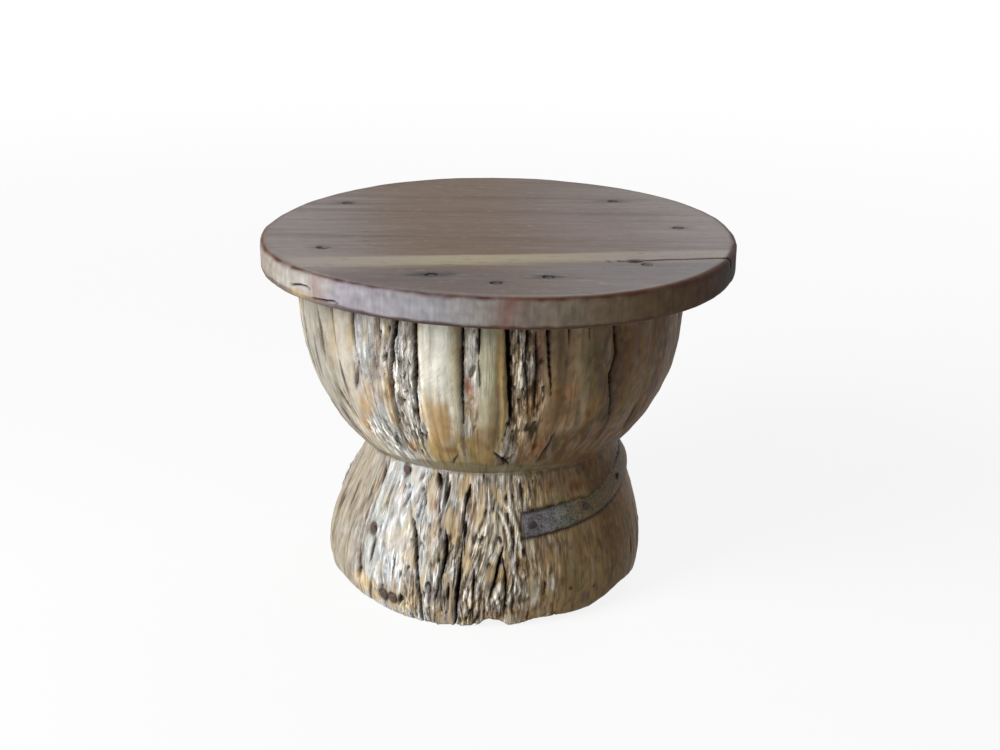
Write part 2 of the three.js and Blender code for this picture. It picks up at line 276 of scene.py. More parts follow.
class Web:
    """The nodes of a material or of the world."""

    def __init__(self, owner):
        owner.use_nodes = True
        self.owner = owner
        self.tree = owner.node_tree

    def node(self, kind, settings, inputs, out=0):
        """Any node: its settings first, then the numbers or signals that go into its inputs."""
        made = self.tree.nodes.new(kind)
        for key, value in settings.items():
            setattr(made, key, value)
        for key, value in inputs.items():
            if isinstance(value, Signal):
                self.tree.links.new(value.socket, made.inputs[key])
            else:
                made.inputs[key].default_value = value
        return Signal(self, made.outputs[out])

    def attribute(self, name, out="Fac"):
        return self.node("ShaderNodeAttribute", {"attribute_name": name}, {}, out=out)

    def seen_directly(self):
        """1 for camera, mirror and glass rays, and 0 for all others."""
        rays = [f"Is {kind} Ray" for kind in ("Camera", "Glossy", "Transmission")]
        camera, glossy, through = (self.node("ShaderNodeLightPath", {}, {}, ray) for ray in rays)
        return camera.maths("MAXIMUM", camera, glossy.maths("MAXIMUM", glossy, through))


class Finish(Web):
    """A material and its nodes."""

    def __init__(self, name, grain=None, **constants):
        super().__init__(bpy.data.materials.new(name))
        self.grain = grain
        self.shader = self.tree.nodes["Principled BSDF"]
        for key, value in constants.items():
            self.shader_input(key).default_value = value

    def shader_input(self, key):
        """The shader's input of a name such as base_color or specular_ior_level."""
        return self.shader.inputs[key.replace("_", " ").title().replace("Ior", "IOR")]

    def place(self, scale, turn=0.0):
        """The point on the piece, in its own metres, turned about the upright axis and scaled. A
        finish that was given a grain reads the point from that attribute instead."""
        if self.grain:
            point = self.attribute(self.grain, out="Vector")
        else:
            point = self.node("ShaderNodeTexCoord", {}, {}, out="Object")
        inputs = {"Vector": point, "Rotation": (0, 0, turn), "Scale": scale}
        return self.node("ShaderNodeMapping", {"vector_type": "POINT"}, inputs)

    def cloud(self, scale, turn=0.0, detail=4.0, coarse=0.55, bend=0.0):
        """Noise from 0 to 1 with a size for each axis, given as cells in a metre."""
        inputs = {"Vector": self.place(scale, turn), "Scale": 1.0, "Detail": detail}
        inputs |= {"Roughness": coarse, "Distortion": bend}
        return self.node("ShaderNodeTexNoise", {}, inputs)

    def mix(self, share, first, second, blend="MIX"):
        """The first colour where share is 0, and the second where it is 1."""
        colours = [c if isinstance(c, Signal) else (*linear(c), 1) for c in (first, second)]
        settings = {"data_type": "RGBA", "blend_type": blend}
        return self.node("ShaderNodeMix", settings, {0: share, 6: colours[0], 7: colours[1]}, out=2)

    def shade(self, colour, factor):
        """A colour made darker or lighter by a number."""
        inputs = {0: colour, "Scale": factor}
        return self.node("ShaderNodeVectorMath", {"operation": "SCALE"}, inputs)

    def relief(self, height, distance, strength=1.0):
        """A height from 0 to 1 as a dent in the shading, distance deep in metres."""
        inputs = {"Height": height, "Distance": distance, "Strength": strength}
        return self.node("ShaderNodeBump", {}, inputs)

    def feed(self, **inputs):
        """Links signals to the shader: feed(base_color=..., normal=...)."""
        for key, value in inputs.items():
            self.tree.links.new(value.socket, self.shader_input(key))
        return self.owner


print("ready to mix materials")

# %% [markdown]
# ## The log's own shape
#
# The mortar was hewn round by eye. Its shape is a turned profile, pushed out and in by slow waves,
# with a waist line that climbs towards the front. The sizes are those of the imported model, so the
# fine surface lies on the same body.

# %% Driving sizes of the log, in millimetres
LOG_AXIS = np.array([-9.44, -4.23])
LOG_TOP = 412.7
RIM_RADIUS = 242
WAIST_RADIUS = 161
WAIST_HEIGHT = 178.5
WAIST_TILT = 11.3
WAIST_PEAK = 13
WAIST_SHIFT = 4
BELLY_RADIUS = 204.5
BELLY_HEIGHT = 34
HEEL_RADIUS = 198
HEEL_SHIFT = -3.5
BOWL_FLATS = (1.6, 7, 40)  # how deep the hewn flats are, how many, and where they start in degrees
FOOT_FLATS = (3.0, 5, 90)
SHOULDER = {"size": 6, "angle": 95, "spread": 26, "height": 152, "rise": 16}
RIB_EASE = 14
HOLLOW_RADIUS = 165
HOLLOW_DEPTH = 190
RIBS = [
    # angle, spread in degrees, from this height to this one, how proud it stands
    (-60, 4.5, 12, 110, 1.8),
    (-44, 5, 40, 150, 2),
    (-30, 4, 12, 60, 2),
    (-19.5, 3.4, 20, 145, 2.6),
    (-3, 3.8, 30, 145, 2.6),
    (10, 3.6, 12, 92, 2.2),
    (27, 5, 12, 90, 1.6),
    (112, 6, 20, 120, 2.2),
    (131, 5, 12, 120, 2),
    (170, 6, 20, 145, 2.4),
    (-170, 5, 12, 110, 2),
    (-142, 6, 20, 145, 2.4),
    (-120, 5, 12, 120, 2),
    (-84, 5, 20, 130, 1.8),
    (-23.8, 3.2, 235, 440, -2.2),
    (-15, 4.4, 225, 440, 2),
    (0.8, 3.8, 225, 440, 2),
    (10.4, 4.2, 255, 440, -2.2),
    (-155, 5, 255, 440, -2),
    (-91, 5, 255, 440, -1.8),
    (117, 6, 255, 440, -2),
]


def ribbing(degrees, height):
    """Ribs between the foot's splits, and the bowl's proud panels and sunk strips: each is a bell
    across, and eases in and out over 14 mm on each side of its ends."""
    total = 0
    for angle, spread, *ends, proud in RIBS:
        begun, ended = (smooth(end - RIB_EASE, end + RIB_EASE, height) for end in ends)
        along = begun - ended
        total = total + proud * along * bump(turned_by(degrees - angle), spread)
    return total


def turned_radius(height):
    """The radius on a lathe: a bowl of waist + (rim - waist)(1 - drop^3), a foot of
    waist + (belly - waist) sin(fall x 90 degrees)^1.2, and below the belly a parabola."""
    drop = np.clip((LOG_TOP - height) / (LOG_TOP - WAIST_HEIGHT), 0, 1)
    fall = np.clip((WAIST_HEIGHT - height) / (WAIST_HEIGHT - BELLY_HEIGHT), 0, 1)
    low = 1 - np.clip(height / BELLY_HEIGHT, 0, 1)
    bowl = WAIST_RADIUS + (RIM_RADIUS - WAIST_RADIUS) * (1 - drop**3)
    foot = WAIST_RADIUS + (BELLY_RADIUS - WAIST_RADIUS) * np.sin(fall * math.pi / 2) ** 1.2
    return np.where(height > WAIST_HEIGHT, bowl, foot - (BELLY_RADIUS - HEEL_RADIUS) * low**2)


def waist_share(height):
    """1 at the waist, falling evenly to 0 at the floor and at the rim."""
    return np.minimum(height / WAIST_HEIGHT, (LOG_TOP - height) / (LOG_TOP - WAIST_HEIGHT))


def hewn_flats(turn, size, count, start):
    """Flats round the log: size x cos(count x turn + start)."""
    return size * np.cos(count * turn + math.radians(start))


def hewn_radius(turn, height):
    """The turned radius, plus hewn flats, a shoulder on the right, the ribs and the sideways lean
    of the waist and the heel."""
    share = waist_share(height)
    in_foot = height < WAIST_HEIGHT
    degrees = np.degrees(turn)
    flats = np.where(in_foot, hewn_flats(turn, *FOOT_FLATS), hewn_flats(turn, *BOWL_FLATS))
    flats = flats * np.sqrt(1 - np.clip(share, 0, 1))
    shoulder = SHOULDER["size"] * bump(degrees - SHOULDER["angle"], SHOULDER["spread"])
    shoulder = shoulder * bump(height - SHOULDER["height"], SHOULDER["rise"])
    lean = WAIST_SHIFT * share + HEEL_SHIFT * np.clip(1 - height / WAIST_HEIGHT, 0, 1)
    form = flats + np.where(in_foot, shoulder, 0) + ribbing(degrees, height)
    return turned_radius(height) + form + lean * np.sin(turn)


def tilted_height(turn, height):
    """The height on the real log of a height on the lathe."""
    return height + WAIST_TILT * np.cos(turn - math.radians(WAIST_PEAK)) * waist_share(height)


def lathe_height(turn, height):
    """The height on the lathe of a height on the real log."""
    rise = WAIST_TILT * np.cos(turn - math.radians(WAIST_PEAK))
    bowl = LOG_TOP - WAIST_HEIGHT
    low = height * WAIST_HEIGHT / (WAIST_HEIGHT + rise)
    high = LOG_TOP - (LOG_TOP - height) * bowl / (bowl - rise)
    return np.where(height < WAIST_HEIGHT + rise, low, high)


def log_radius(degrees, height):
    """The outer radius of the smooth log at an angle from the front and a height."""
    turn = np.radians(degrees)
    return hewn_radius(turn, lathe_height(turn, np.clip(height, 0, LOG_TOP)))


def round_log(turn, radius, height):
    """Points at a turn, a radius and a height about the log's axis."""
    x = LOG_AXIS[0] + radius * np.sin(turn)
    y = LOG_AXIS[1] - radius * np.cos(turn)
    return np.stack(np.broadcast_arrays(x, y, height), axis=-1)


print("rim, waist and heel across:", 2 * RIM_RADIUS, 2 * WAIST_RADIUS, 2 * HEEL_RADIUS, "mm")

# %% [markdown]
# ## Splits, and columns that crowd to them
#
# As a log dries it splits along the grain, deep and narrow. A grid fine enough for that everywhere
# would be far too heavy. Instead the columns crowd together where a split runs and spread out
# between them: each row's columns stand where a running total of density reaches equal shares.
#
# Each split is a run of angle and height, with its width and depth. The main ones are those of the
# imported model. The fine ones are strewn by seeded chance.

# %% The splits
SPLITS = [
    # run of angle and height, width, depth
    ([(-49.7, 425), (-49.7, 390), (-47.7, 336)], 3, 14),
    ([(-41, 425), (-41.1, 370), (-39, 316)], 2.8, 12),
    ([(-26.5, 425), (-26.8, 385), (-28.5, 335), (-28.3, 235)], 4.2, 16),
    ([(-20.6, 425), (-20.6, 368), (-20.8, 330), (-22.4, 222)], 5.2, 18),
    ([(-7.1, 425), (-7.1, 350), (-7.4, 264)], 3, 18),
    ([(4.4, 425), (5.5, 340), (6.7, 285), (4.2, 249)], 6.5, 24),
    ([(15.8, 425), (16.8, 350), (18, 306)], 4, 14),
    ([(34.5, 425), (37.6, 356), (36, 330), (40.4, 256)], 4.5, 14),
    ([(-53.5, 178), (-52.2, 160), (-50.7, 142)], 4, 12),
    ([(-34.2, 158), (-27.4, 114), (-25, 80), (-22.4, 29), (-22, -12)], 5, 20),
    ([(-15.2, 126), (-14.4, 94), (-15.5, 62)], 5, 16),
    ([(-8.5, 115), (-9.6, 48), (-10.9, -12)], 5, 20),
    ([(6.5, 110), (3.6, 73), (0.7, 38)], 4, 14),
    ([(-53.3, 76), (-52, 43), (-53.2, 22)], 4.5, 14),
    ([(-44.7, 40), (-46, 22), (-48, -8)], 3.5, 12),
    ([(108, 425), (109, 360), (106, 285)], 6, 18),
    ([(126, 425), (125, 350), (128, 250)], 7, 20),
    ([(166, 425), (167, 370), (165, 300)], 4, 14),
    ([(-161, 425), (-159, 350), (-160, 265)], 6, 18),
    ([(-112, 425), (-113, 360), (-111, 290)], 5, 16),
    ([(100, 118), (98, 60), (101, -12)], 4.5, 16),
    ([(156, 150), (158, 80), (155, 34)], 4.5, 16),
    ([(-155, 140), (-157, 70), (-154, -12)], 5, 18),
    ([(-98, 150), (-96, 90), (-98, 30)], 4.5, 16),
]
FINE_SPLITS = [
    ([(-27, 420), (-26.6, 394), (-26.6, 374)], 9, 14),
    ([(-31.6, 420), (-31.6, 370)], 2.6, 7),
    ([(-2.7, 420), (-2.6, 364)], 4, 10),
    ([(-2.5, 366), (-2.4, 320)], 1.8, 4),
    ([(22.2, 420), (22.2, 373)], 3, 8),
    ([(28.1, 420), (28.1, 376)], 3, 8),
    ([(10.4, 420), (10.2, 350), (11.6, 300)], 3, 9),
    ([(12.8, 412), (13.4, 345), (13.8, 280)], 2.6, 8),
    ([(-53.4, 296), (-51, 268), (-48.4, 240)], 5, 9),
    ([(-50.4, 292), (-48, 262), (-46.4, 244)], 3.4, 7),
    ([(1.2, 236), (4.0, 224), (8.6, 207)], 4.5, 6),
    ([(9.6, 230), (6.4, 215), (5.8, 206)], 3.5, 5),
    ([(-10.5, 226), (-12.5, 214), (-13.5, 204)], 3, 4),
    ([(-22, 186), (-21, 178), (-19.6, 164)], 5.5, 8),
    ([(-16, 178), (-16, 152)], 4.2, 7),
    ([(-7, 178), (-8.6, 146)], 4, 7),
    ([(-7.6, 134), (-8, 112)], 5, 8),
    ([(-12.5, 62), (-13, 30)], 3.5, 9),
    ([(5.4, 100), (7.2, 60), (6.2, 22)], 3.4, 9),
    ([(-30.2, 40), (-31.4, 12)], 2.6, 7),
]


def strewn_splits(count, seed):
    """Short fine splits at random places. Each leans a little, and few fall on the smooth front."""
    dice = np.random.RandomState(seed)
    made = []
    while len(made) < count:
        angle = dice.uniform(-180, 180)
        low, long = dice.choice([0, 195]) + dice.uniform(10, 150), dice.uniform(24, 80)
        lean, width = dice.normal(0, 1.2), dice.uniform(2.0, 3.6)
        on_smooth_front = low > 190 and -22 < angle < 6
        near_strap = 8 < angle < 120 and 90 < low + long / 2 < 180
        if on_smooth_front or near_strap:
            continue
        made.append(([(angle, low + long), (angle + lean, low)], width, dice.uniform(3.5, 9)))
    return made


ALL_SPLITS = SPLITS + FINE_SPLITS + strewn_splits(70, seed=5)
MM_IN_A_DEGREE = 3.5  # about, on the log's outside
print(len(ALL_SPLITS), "splits")


def split_line(run, height):
    """A split's angle at each height, and how far along it that height lies, from 0 to 1."""
    angles, heights = np.array(run, float).T
    angle = np.interp(height, heights[::-1], angles[::-1])
    return angle, (heights[0] - height) / (heights[0] - heights[-1])


def split_width(run, along):
    """A half wave that tapers a split at both ends. Over the rim a split is cut off wide."""
    start = 0.3 if run[0][1] > LOG_TOP else 0.0
    return np.sin(math.pi * (start + (1 - start) * np.clip(along, 0, 1)))


def spread_turns(columns, density, fine):
    """Columns that stand where the running total of a row's density reaches equal shares."""
    total = np.cumsum(density, axis=1)
    total = (total - total[:, :1]) / (total[:, -1:] - total[:, :1])
    shares = np.arange(columns) / columns
    return np.radians([np.interp(shares, row, fine) for row in total])


def log_turns(columns, heights):
    """The turn of each column at each row.

    Density is 1, twice that on the side that the photograph shows, and 1.6 more at each split but
    the finest at the back. A split's share comes and goes over 50 mm of height, so that no row lies
    far aside of the next.
    """
    fine = np.linspace(-180, 180, 4321)
    density = 1 + smooth(100, 72, np.abs(fine)) * np.ones((len(heights), 1))
    for run, width, _ in ALL_SPLITS:
        if abs(run[0][0]) > 100 and width < 4:
            continue
        angle, _ = split_line(run, heights)
        high, low = run[0][1], run[-1][1]
        present = smooth(low - 50, low + 5, heights) * smooth(high + 50, high - 5, heights)
        reach = (0.6 * width + 2.4) / MM_IN_A_DEGREE
        off = turned_by(fine - angle[:, None])
        density += (1.6 * present)[:, None] * bump(off, reach)
    return spread_turns(columns, density, fine)


# %% [markdown]
# ## Charts of the wood
#
# Seen from the front, the bowl is a row of upright panels. Some are smooth and stand proud, and
# between them lie weathered strips where the soft wood has gone and the fibres show. Each chart
# below goes round the log by angle. A zone starts at its angle and runs to the next one. It says
# how far the wood stands proud, in millimetres, how torn it is, from 0 to 1, and its colour.
#
# The photograph shows the front, from about -75 to 75 degrees. The rest is made up in the same way.

# %% The charts
# In all three charts the browns from about 20 to 95 degrees are darker than the wood: partly its
# own brown and partly painted shade of the side away from the key lamp.
BOWL_PANELS = [
    (-180, 0.5, 0.25, "a29781"),
    (-161, -0.2, 0.8, "9b9588"),
    (-148, 1.2, 0.1, "ae9d7f"),
    (-133, -0.6, 0.5, "a09783"),
    (-112, 0.8, 0.2, "ac9f8b"),
    (-97, -0.2, 0.75, "a7a59d"),
    (-86, 0.3, 0.3, "a9a292"),
    (-70, 0.0, 0.14, "a8a498"),
    (-49.7, 0.8, 0.08, "b9b1a1"),
    (-41.1, -0.8, 0.35, "bcbdbc"),
    (-33.4, -0.4, 0.6, "c6c0b2"),
    (-27.5, -0.6, 1.0, "dddacf"),
    (-19.7, 0.9, 0.02, "eeeee0"),
    (-10.4, 0.3, 0.2, "a69e82"),
    (-7.2, -1.8, 0.75, "c2bfb2"),
    (-2.6, 0.8, 0.04, "b3b196"),
    (3.0, 0.4, 0.1, "a58f5f"),
    (5.6, -0.8, 1.0, "dccdae"),
    (11.2, 0.2, 0.9, "aa9277"),
    (15.8, 0.4, 0.1, "978061"),
    (22.0, 0.2, 0.12, "9d8466"),
    (30.0, 0.0, 0.16, "765f47"),
    (37.0, 0.6, 0.08, "62462c"),
    (52.0, 0.2, 0.1, "5c4023"),
    (74, -0.4, 0.2, "63482b"),
    (92, 0.9, 0.15, "897253"),
    (108, -0.2, 0.8, "887b66"),
    (126, 1.0, 0.12, "9b8763"),
    (143, -0.6, 0.5, "958870"),
    (166, 0.8, 0.2, "a29272"),
]
LOWER_BOWL = [
    (-180, 0, 0.3, "9f9175"),
    (-150, 0, 0.6, "98907e"),
    (-120, 0, 0.25, "a5977b"),
    (-92, -1, 0.8, "a39f91"),
    (-70, 0, 0.3, "a89c89"),
    (-53.5, -1.0, 0.5, "c6baa8"),
    (-49.5, 0.8, 0.08, "dacfb6"),
    (-43.5, -0.8, 0.85, "eeeee8"),
    (-29, -0.8, 0.7, "d2c8b2"),
    (-20.5, 0.6, 0.05, "b09661"),
    (-9.0, 0.4, 0.3, "97875e"),
    (-6.4, 0.3, 0.12, "98804e"),
    (3.6, -0.4, 0.75, "a49a84"),
    (9.0, 0.4, 0.4, "7e613f"),
    (20, 0, 0.34, "5f4429"),
    (38, 0, 0.2, "563b21"),
    (60, 0, 0.14, "5a4229"),
    (100, 0, 0.5, "7a6345"),
    (130, 0, 0.25, "94815f"),
    (158, 0, 0.5, "948670"),
]
FOOT = [
    (-180, 0, 0.6, "a29a88"),
    (-160, -1, 0.9, "a6a297"),
    (-138, 0.8, 0.3, "a49781"),
    (-116, 0, 0.7, "a29c90"),
    (-96, -1.2, 0.2, "aea38f"),
    (-74, -0.8, 0.22, "aca290"),
    (-61, -1.0, 0.34, "a8a195"),
    (-51, 0.3, 0.4, "c3c8c6"),
    (-40, 0.4, 0.5, "dae1e5"),
    (-29, 0, 0.8, "ced1cf"),
    (-20, -0.6, 0.9, "b3b1ab"),
    (-10, 0, 0.85, "c4b59e"),
    (0, 0.4, 0.9, "cfc7b4"),
    (9, 0.2, 0.85, "bbb09a"),
    (16, 0, 0.55, "98825f"),
    (27, 0, 0.16, "866f4b"),
    (45, 0, 0.05, "644927"),
    (70, 0, 0.06, "624828"),
    (96, 0, 0.55, "88765d"),
    (120, 0.5, 0.35, "958261"),
    (146, -0.8, 0.85, "9a907e"),
    (166, 0, 0.5, "9f937c"),
]


def swelling(chart, degrees):
    """How far a smooth zone swells: 1 - (2t - 1)^2 at the share t of its width, less where torn."""
    starts = np.array([zone[0] for zone in chart] + [chart[0][0] + 360], float)
    torn = np.array([zone[2] for zone in chart])
    at = turned_by(degrees)
    zone = np.searchsorted(starts, at, "right") - 1
    share = (at - starts[zone]) / (starts[zone + 1] - starts[zone])
    return (1 - (2 * share - 1) ** 2) * (1 - torn[zone])


def read_chart(chart, degrees, melt=0.55):
    """Proud, torn and colour at each angle: the mean of five readings spread over the melt."""
    starts = np.array([zone[0] for zone in chart], float)
    values = np.array([[zone[1], zone[2], *linear(zone[3])] for zone in chart])
    spread = melt * np.linspace(-1, 1, 5)
    found = [values[np.searchsorted(starts, turned_by(degrees + d), "right") - 1] for d in spread]
    return np.mean(found, axis=0)


print(len(BOWL_PANELS), "panels on the bowl,", len(FOOT), "zones round the foot")

# %% [markdown]
# ## What lies on or in the foot
#
# The iron strap is let into the foot and climbs round its right side, and old nails stand in the
# wood. The wood has to lie flat around them, so their places are settled before its relief. The
# strap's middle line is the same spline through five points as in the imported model.

# %% The strap's line and the nails' places
STRAP_POINTS = np.array([(14, 127.5), (41, 137), (65, 150), (90, 157), (116, 159)])
STRAP_WIDTH = 28
STRAP_THICKNESS = 3.2
STRAP_PROUD = 1.6
GAP = 0.3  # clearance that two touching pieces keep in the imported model
STRAP_PLAY = 0.6  # room between the strap's edges and the wood
STRAP_NAILS = (0.035, 0.27, 0.53, 0.95)
LOG_NAILS = {
    "waist_nail": (-38.1, 177.5),
    "foot_nail_left": (-47.2, 99),
    "foot_nail_low_1": (-38.5, 23),
    "foot_nail_low_2": (-33.8, 24.5),
}
LOG_NAIL_PROUD = 1.4
FOOT_RADIUS = 195  # about, along the strap
GRAIN_TUBE = 200


def spline(points, steps=60):
    """A Catmull-Rom curve: between two points it is the cubic whose slope at each is half the
    step between that point's neighbours."""
    padded = np.concatenate([points[:1], points, points[-1:]])
    before, first, second, after = (padded[i : i + len(points) - 1, None] for i in range(4))
    t = np.linspace(0, 1, steps, endpoint=False)[:, None]
    slope, next_slope = (second - before) / 2, (after - first) / 2
    bend = 3 * (second - first) - 2 * slope - next_slope
    twist = 2 * (first - second) + slope + next_slope
    curve = first + slope * t + bend * t**2 + twist * t**3
    return np.concatenate([curve.reshape(-1, points.shape[1]), points[-1:]])


STRAP_LINE = spline(STRAP_POINTS)
strap_steps = np.linalg.norm(np.diff(STRAP_LINE, axis=0), axis=1)
STRAP_SHARE = np.concatenate([[0], strap_steps.cumsum()]) / strap_steps.sum()


def on_strap(share):
    """The angle and the height of the strap's middle line at a share of its way."""
    return [np.interp(share, STRAP_SHARE, column) for column in STRAP_LINE.T]


def across_strap(degrees, height):
    """How far above the strap's middle line a point lies, and 1 beside the strap or 0 past it."""
    middle = np.interp(degrees, STRAP_LINE[:, 0], STRAP_LINE[:, 1])
    slope = np.gradient(STRAP_LINE[:, 1], STRAP_LINE[:, 0])
    climb = np.interp(degrees, STRAP_LINE[:, 0], slope) / math.radians(1) / FOOT_RADIUS
    left_end, right_end = STRAP_LINE[[0, -1], 0]
    beside = smooth(left_end - 1.4, left_end - 0.4, degrees)
    beside = beside * smooth(right_end + 1.6, right_end + 0.4, degrees)
    return (height - middle) / np.hypot(1, climb), beside


def straight_grain(turn, height):
    """Points on a plain tube of 200 mm radius. Noise that is drawn out along the tube follows the
    log's flare, as the fibres do. At the front of the foot the tube is sheared by up to 22 mm,
    because there the fibres lean to the right on their way up."""
    turn = turn + 22 * smooth(155, 30, height) * bump(np.degrees(turn) + 3, 11) / GRAIN_TUBE
    x, y = GRAIN_TUBE * np.sin(turn), -GRAIN_TUBE * np.cos(turn)
    return np.stack(np.broadcast_arrays(x, y, height), axis=-1)


def strap_lip(degrees, height):
    """How many millimetres of the strap's upper edge lie under a lip of wood."""
    ragged = noise(straight_grain(np.radians(degrees), height), (14, 14, 14), 23)
    return np.clip(6.2 * bump(degrees - 48, 15) + 2.2 * ragged * bump(degrees - 44, 26), 0, 8)


strap_turn = np.radians(STRAP_LINE[-1, 0] - STRAP_LINE[0, 0])
print("strap runs", round(float(strap_turn * FOOT_RADIUS)), "mm round the foot")

# %% [markdown]
# ## The relief of the log
#
# The relief is how far each point stands out of the smooth log or sinks below it. It adds up the
# panels, billowed noise for the fibres, the splits and pits, and a few raised slivers of wood.
# Billowed noise is the size of a noise that crosses zero: it gives rounded ridges with sharp
# creases between them, which is how wood erodes.
#
# The skin holds what is known of the log's points, as arrays of one shape. Each step below reads
# some of them and adds others.

# %% Slivers
SLIVERS = [
    # run of angle and height, width, how high it stands
    ([(6.0, 158), (9.0, 146), (11.2, 128), (12.5, 97)], 4.2, 5.0),
    ([(3.0, 154), (6.6, 138), (8.3, 120), (9.0, 102)], 4.0, 4.8),
    ([(-1.0, 150), (-4.5, 120), (-5.6, 98)], 2.6, 2.4),
    ([(8.6, 92), (11.4, 60), (13.0, 30)], 3.4, 2.6),
    ([(1.8, 60), (4.6, 34), (5.4, 12)], 3.6, 3.0),
    ([(8.4, 400), (9.0, 340), (9.2, 290)], 2.0, 2.4),
    ([(11.9, 396), (12.4, 350), (12.2, 312)], 2.0, 2.6),
    ([(-23.6, 392), (-24.6, 350), (-24.4, 300)], 3.2, 2.6),
    ([(-31.0, 360), (-30.6, 320), (-31.8, 282)], 2.6, 1.8),
    ([(-5.4, 392), (-5.0, 350), (-5.6, 334)], 2.4, 2.0),
    ([(-36, 272), (-35, 240), (-33, 214)], 4.0, 3.0),
    ([(-31, 262), (-30.4, 236), (-28, 210)], 3.4, 3.0),
]


def strewn_slivers(count, seed):
    """Raised slivers at random places on the foot."""
    dice = np.random.RandomState(seed)
    made = []
    for _ in range(count):
        angle, low, long = dice.uniform(-180, 180), dice.uniform(5, 120), dice.uniform(24, 60)
        lean = dice.normal(0, 2.0)
        if -105 < angle < -62 or 24 < angle < 92:
            continue
        run = [(angle + lean, low + long), (angle, low + long / 2), (angle + 0.4 * lean, low)]
        made.append((run, dice.uniform(2.4, 4.2), dice.uniform(1.0, 2.6)))
    return made


ALL_SLIVERS = SLIVERS + strewn_slivers(60, seed=9)
print(len(ALL_SLIVERS), "raised slivers")

# %% Zones and fibres


def billows(points, across, along, seed):
    """0 in the creases and about 1 on the ridges: 2.4 x the size of a noise drawn out upwards."""
    return np.clip(2.4 * np.abs(noise(points, (across, across, along), seed)), 0, 1.3)


def aside(degrees, angle, radius):
    """How many millimetres round the log each point lies from an angle."""
    return np.radians(turned_by(degrees - angle)) * radius


def log_skin(turn, lathe, height):
    """Where the points lie, on the log and on the straightened grain that noise is read at."""
    grain = straight_grain(turn, height)
    return SimpleNamespace(
        degrees=np.degrees(turn),
        height=height,
        radius=hewn_radius(turn, lathe),
        grain=grain,
        wander=noise(grain, (30, 30, 60), 3),
        in_foot=lathe < WAIST_HEIGHT,
        over_waist=lathe - WAIST_HEIGHT,
    )


def read_zones(skin):
    """Proud, torn and colour from the charts. The bowl's two charts melt together near 253 mm."""
    wander, height, grain = skin.wander, skin.height, skin.grain
    read_at = skin.degrees + 0.45 * wander * smooth(410, 380, height)
    bowl = read_chart(BOWL_PANELS, read_at)
    lower = read_chart(LOWER_BOWL, read_at + 1.5 * wander, melt=1.6)
    foot = read_chart(FOOT, read_at + 2.0 * wander, melt=2.5)
    to_bowl = smooth(238, 268, height + 16 * noise(grain, (14, 14, 30), 4))[..., None]
    values = np.where(skin.in_foot[..., None], foot, bowl * to_bowl + lower * (1 - to_bowl))
    round_end = smooth(226, 246, height + 9 * noise(grain, (12, 12, 30), 24))
    swell = 3.2 * (swelling(BOWL_PANELS, read_at) - 0.6) * round_end * ~skin.in_foot
    skin.proud, skin.torn, skin.colour = values[..., 0] + swell, values[..., 1], values[..., 2:]


def calm_the_waist(skin):
    """Wood is calm in the collar at the bowl's lower edge. On the foot, islands of the old hewn
    face stand between the torn parts."""
    grain, over_waist, in_foot = skin.grain, skin.over_waist, skin.in_foot
    clumps = 0.7 + 0.6 * smooth(-0.3, 0.3, noise(grain, (26, 26, 60), 7))
    island = smooth(0.2, 0.42, noise(grain, (15, 15, 34), 22))
    skin.island = island * smooth(0.3, 0.6, skin.torn) * in_foot
    calm_waist = np.where(in_foot, smooth(-5, -1, over_waist), smooth(34, 2, over_waist))
    front_band = bump(skin.degrees + 2, 26) * smooth(40, 14, over_waist) * ~in_foot
    skin.torn = skin.torn * clumps * (1 - 0.8 * calm_waist) * (1 - 0.7 * front_band)
    skin.torn = skin.torn * (1 - 0.75 * skin.island)
    skin.proud = skin.proud + 1.2 * skin.island


def fibre_relief(skin):
    """Proud + torn x (coarse and fine billows) - pits + slow dents + knobs low on the bowl."""
    grain, torn, degrees, height = skin.grain, skin.torn, skin.degrees, skin.height
    sidle = (2 + 4 * torn) * skin.wander + 1.6 * torn * noise(grain, (11, 11, 26), 9)
    skin.flow = flow = grain + sidle[..., None] * np.array([1, 1, 0])
    coarse = billows(flow, 9.5, 56, 1)
    medium = billows(flow, 5.2, 26, 2)
    skin.ridge = 0.55 * coarse + 0.45 * medium
    skin.pits = smooth(0.36, 0.5, noise(flow, (5.2, 5.2, 15), 6)) * smooth(0.3, 0.7, torn)

    size = np.where(skin.in_foot, 2.9, 2.4)
    fibres = size * (coarse - 0.5) + 0.8 * size * (medium - 0.5)
    fibres = fibres + 1.1 * noise(flow, (3.2, 3.2, 11), 5) + 2.4 * noise(grain, (17, 17, 110), 21)
    sides = smooth(14, 34, np.abs(degrees - 2)) * smooth(26, 4, height)
    relief = (torn * fibres + skin.proud) * (1 - 0.75 * sides) - 4.0 * skin.pits
    relief += 0.8 * noise(grain, (60, 60, 90), 8) + 0.3 * noise(flow, (5, 5, 70), 10)
    knobbly = smooth(2, 12, degrees) * smooth(80, 55, degrees) * smooth(268, 240, height)
    return relief + 1.8 * knobbly * ~skin.in_foot * noise(grain, (9, 9, 13), 25)


print(len(BOWL_PANELS + LOWER_BOWL + FOOT), "zones give the fibres their place")

# %% Splits and slivers in the skin


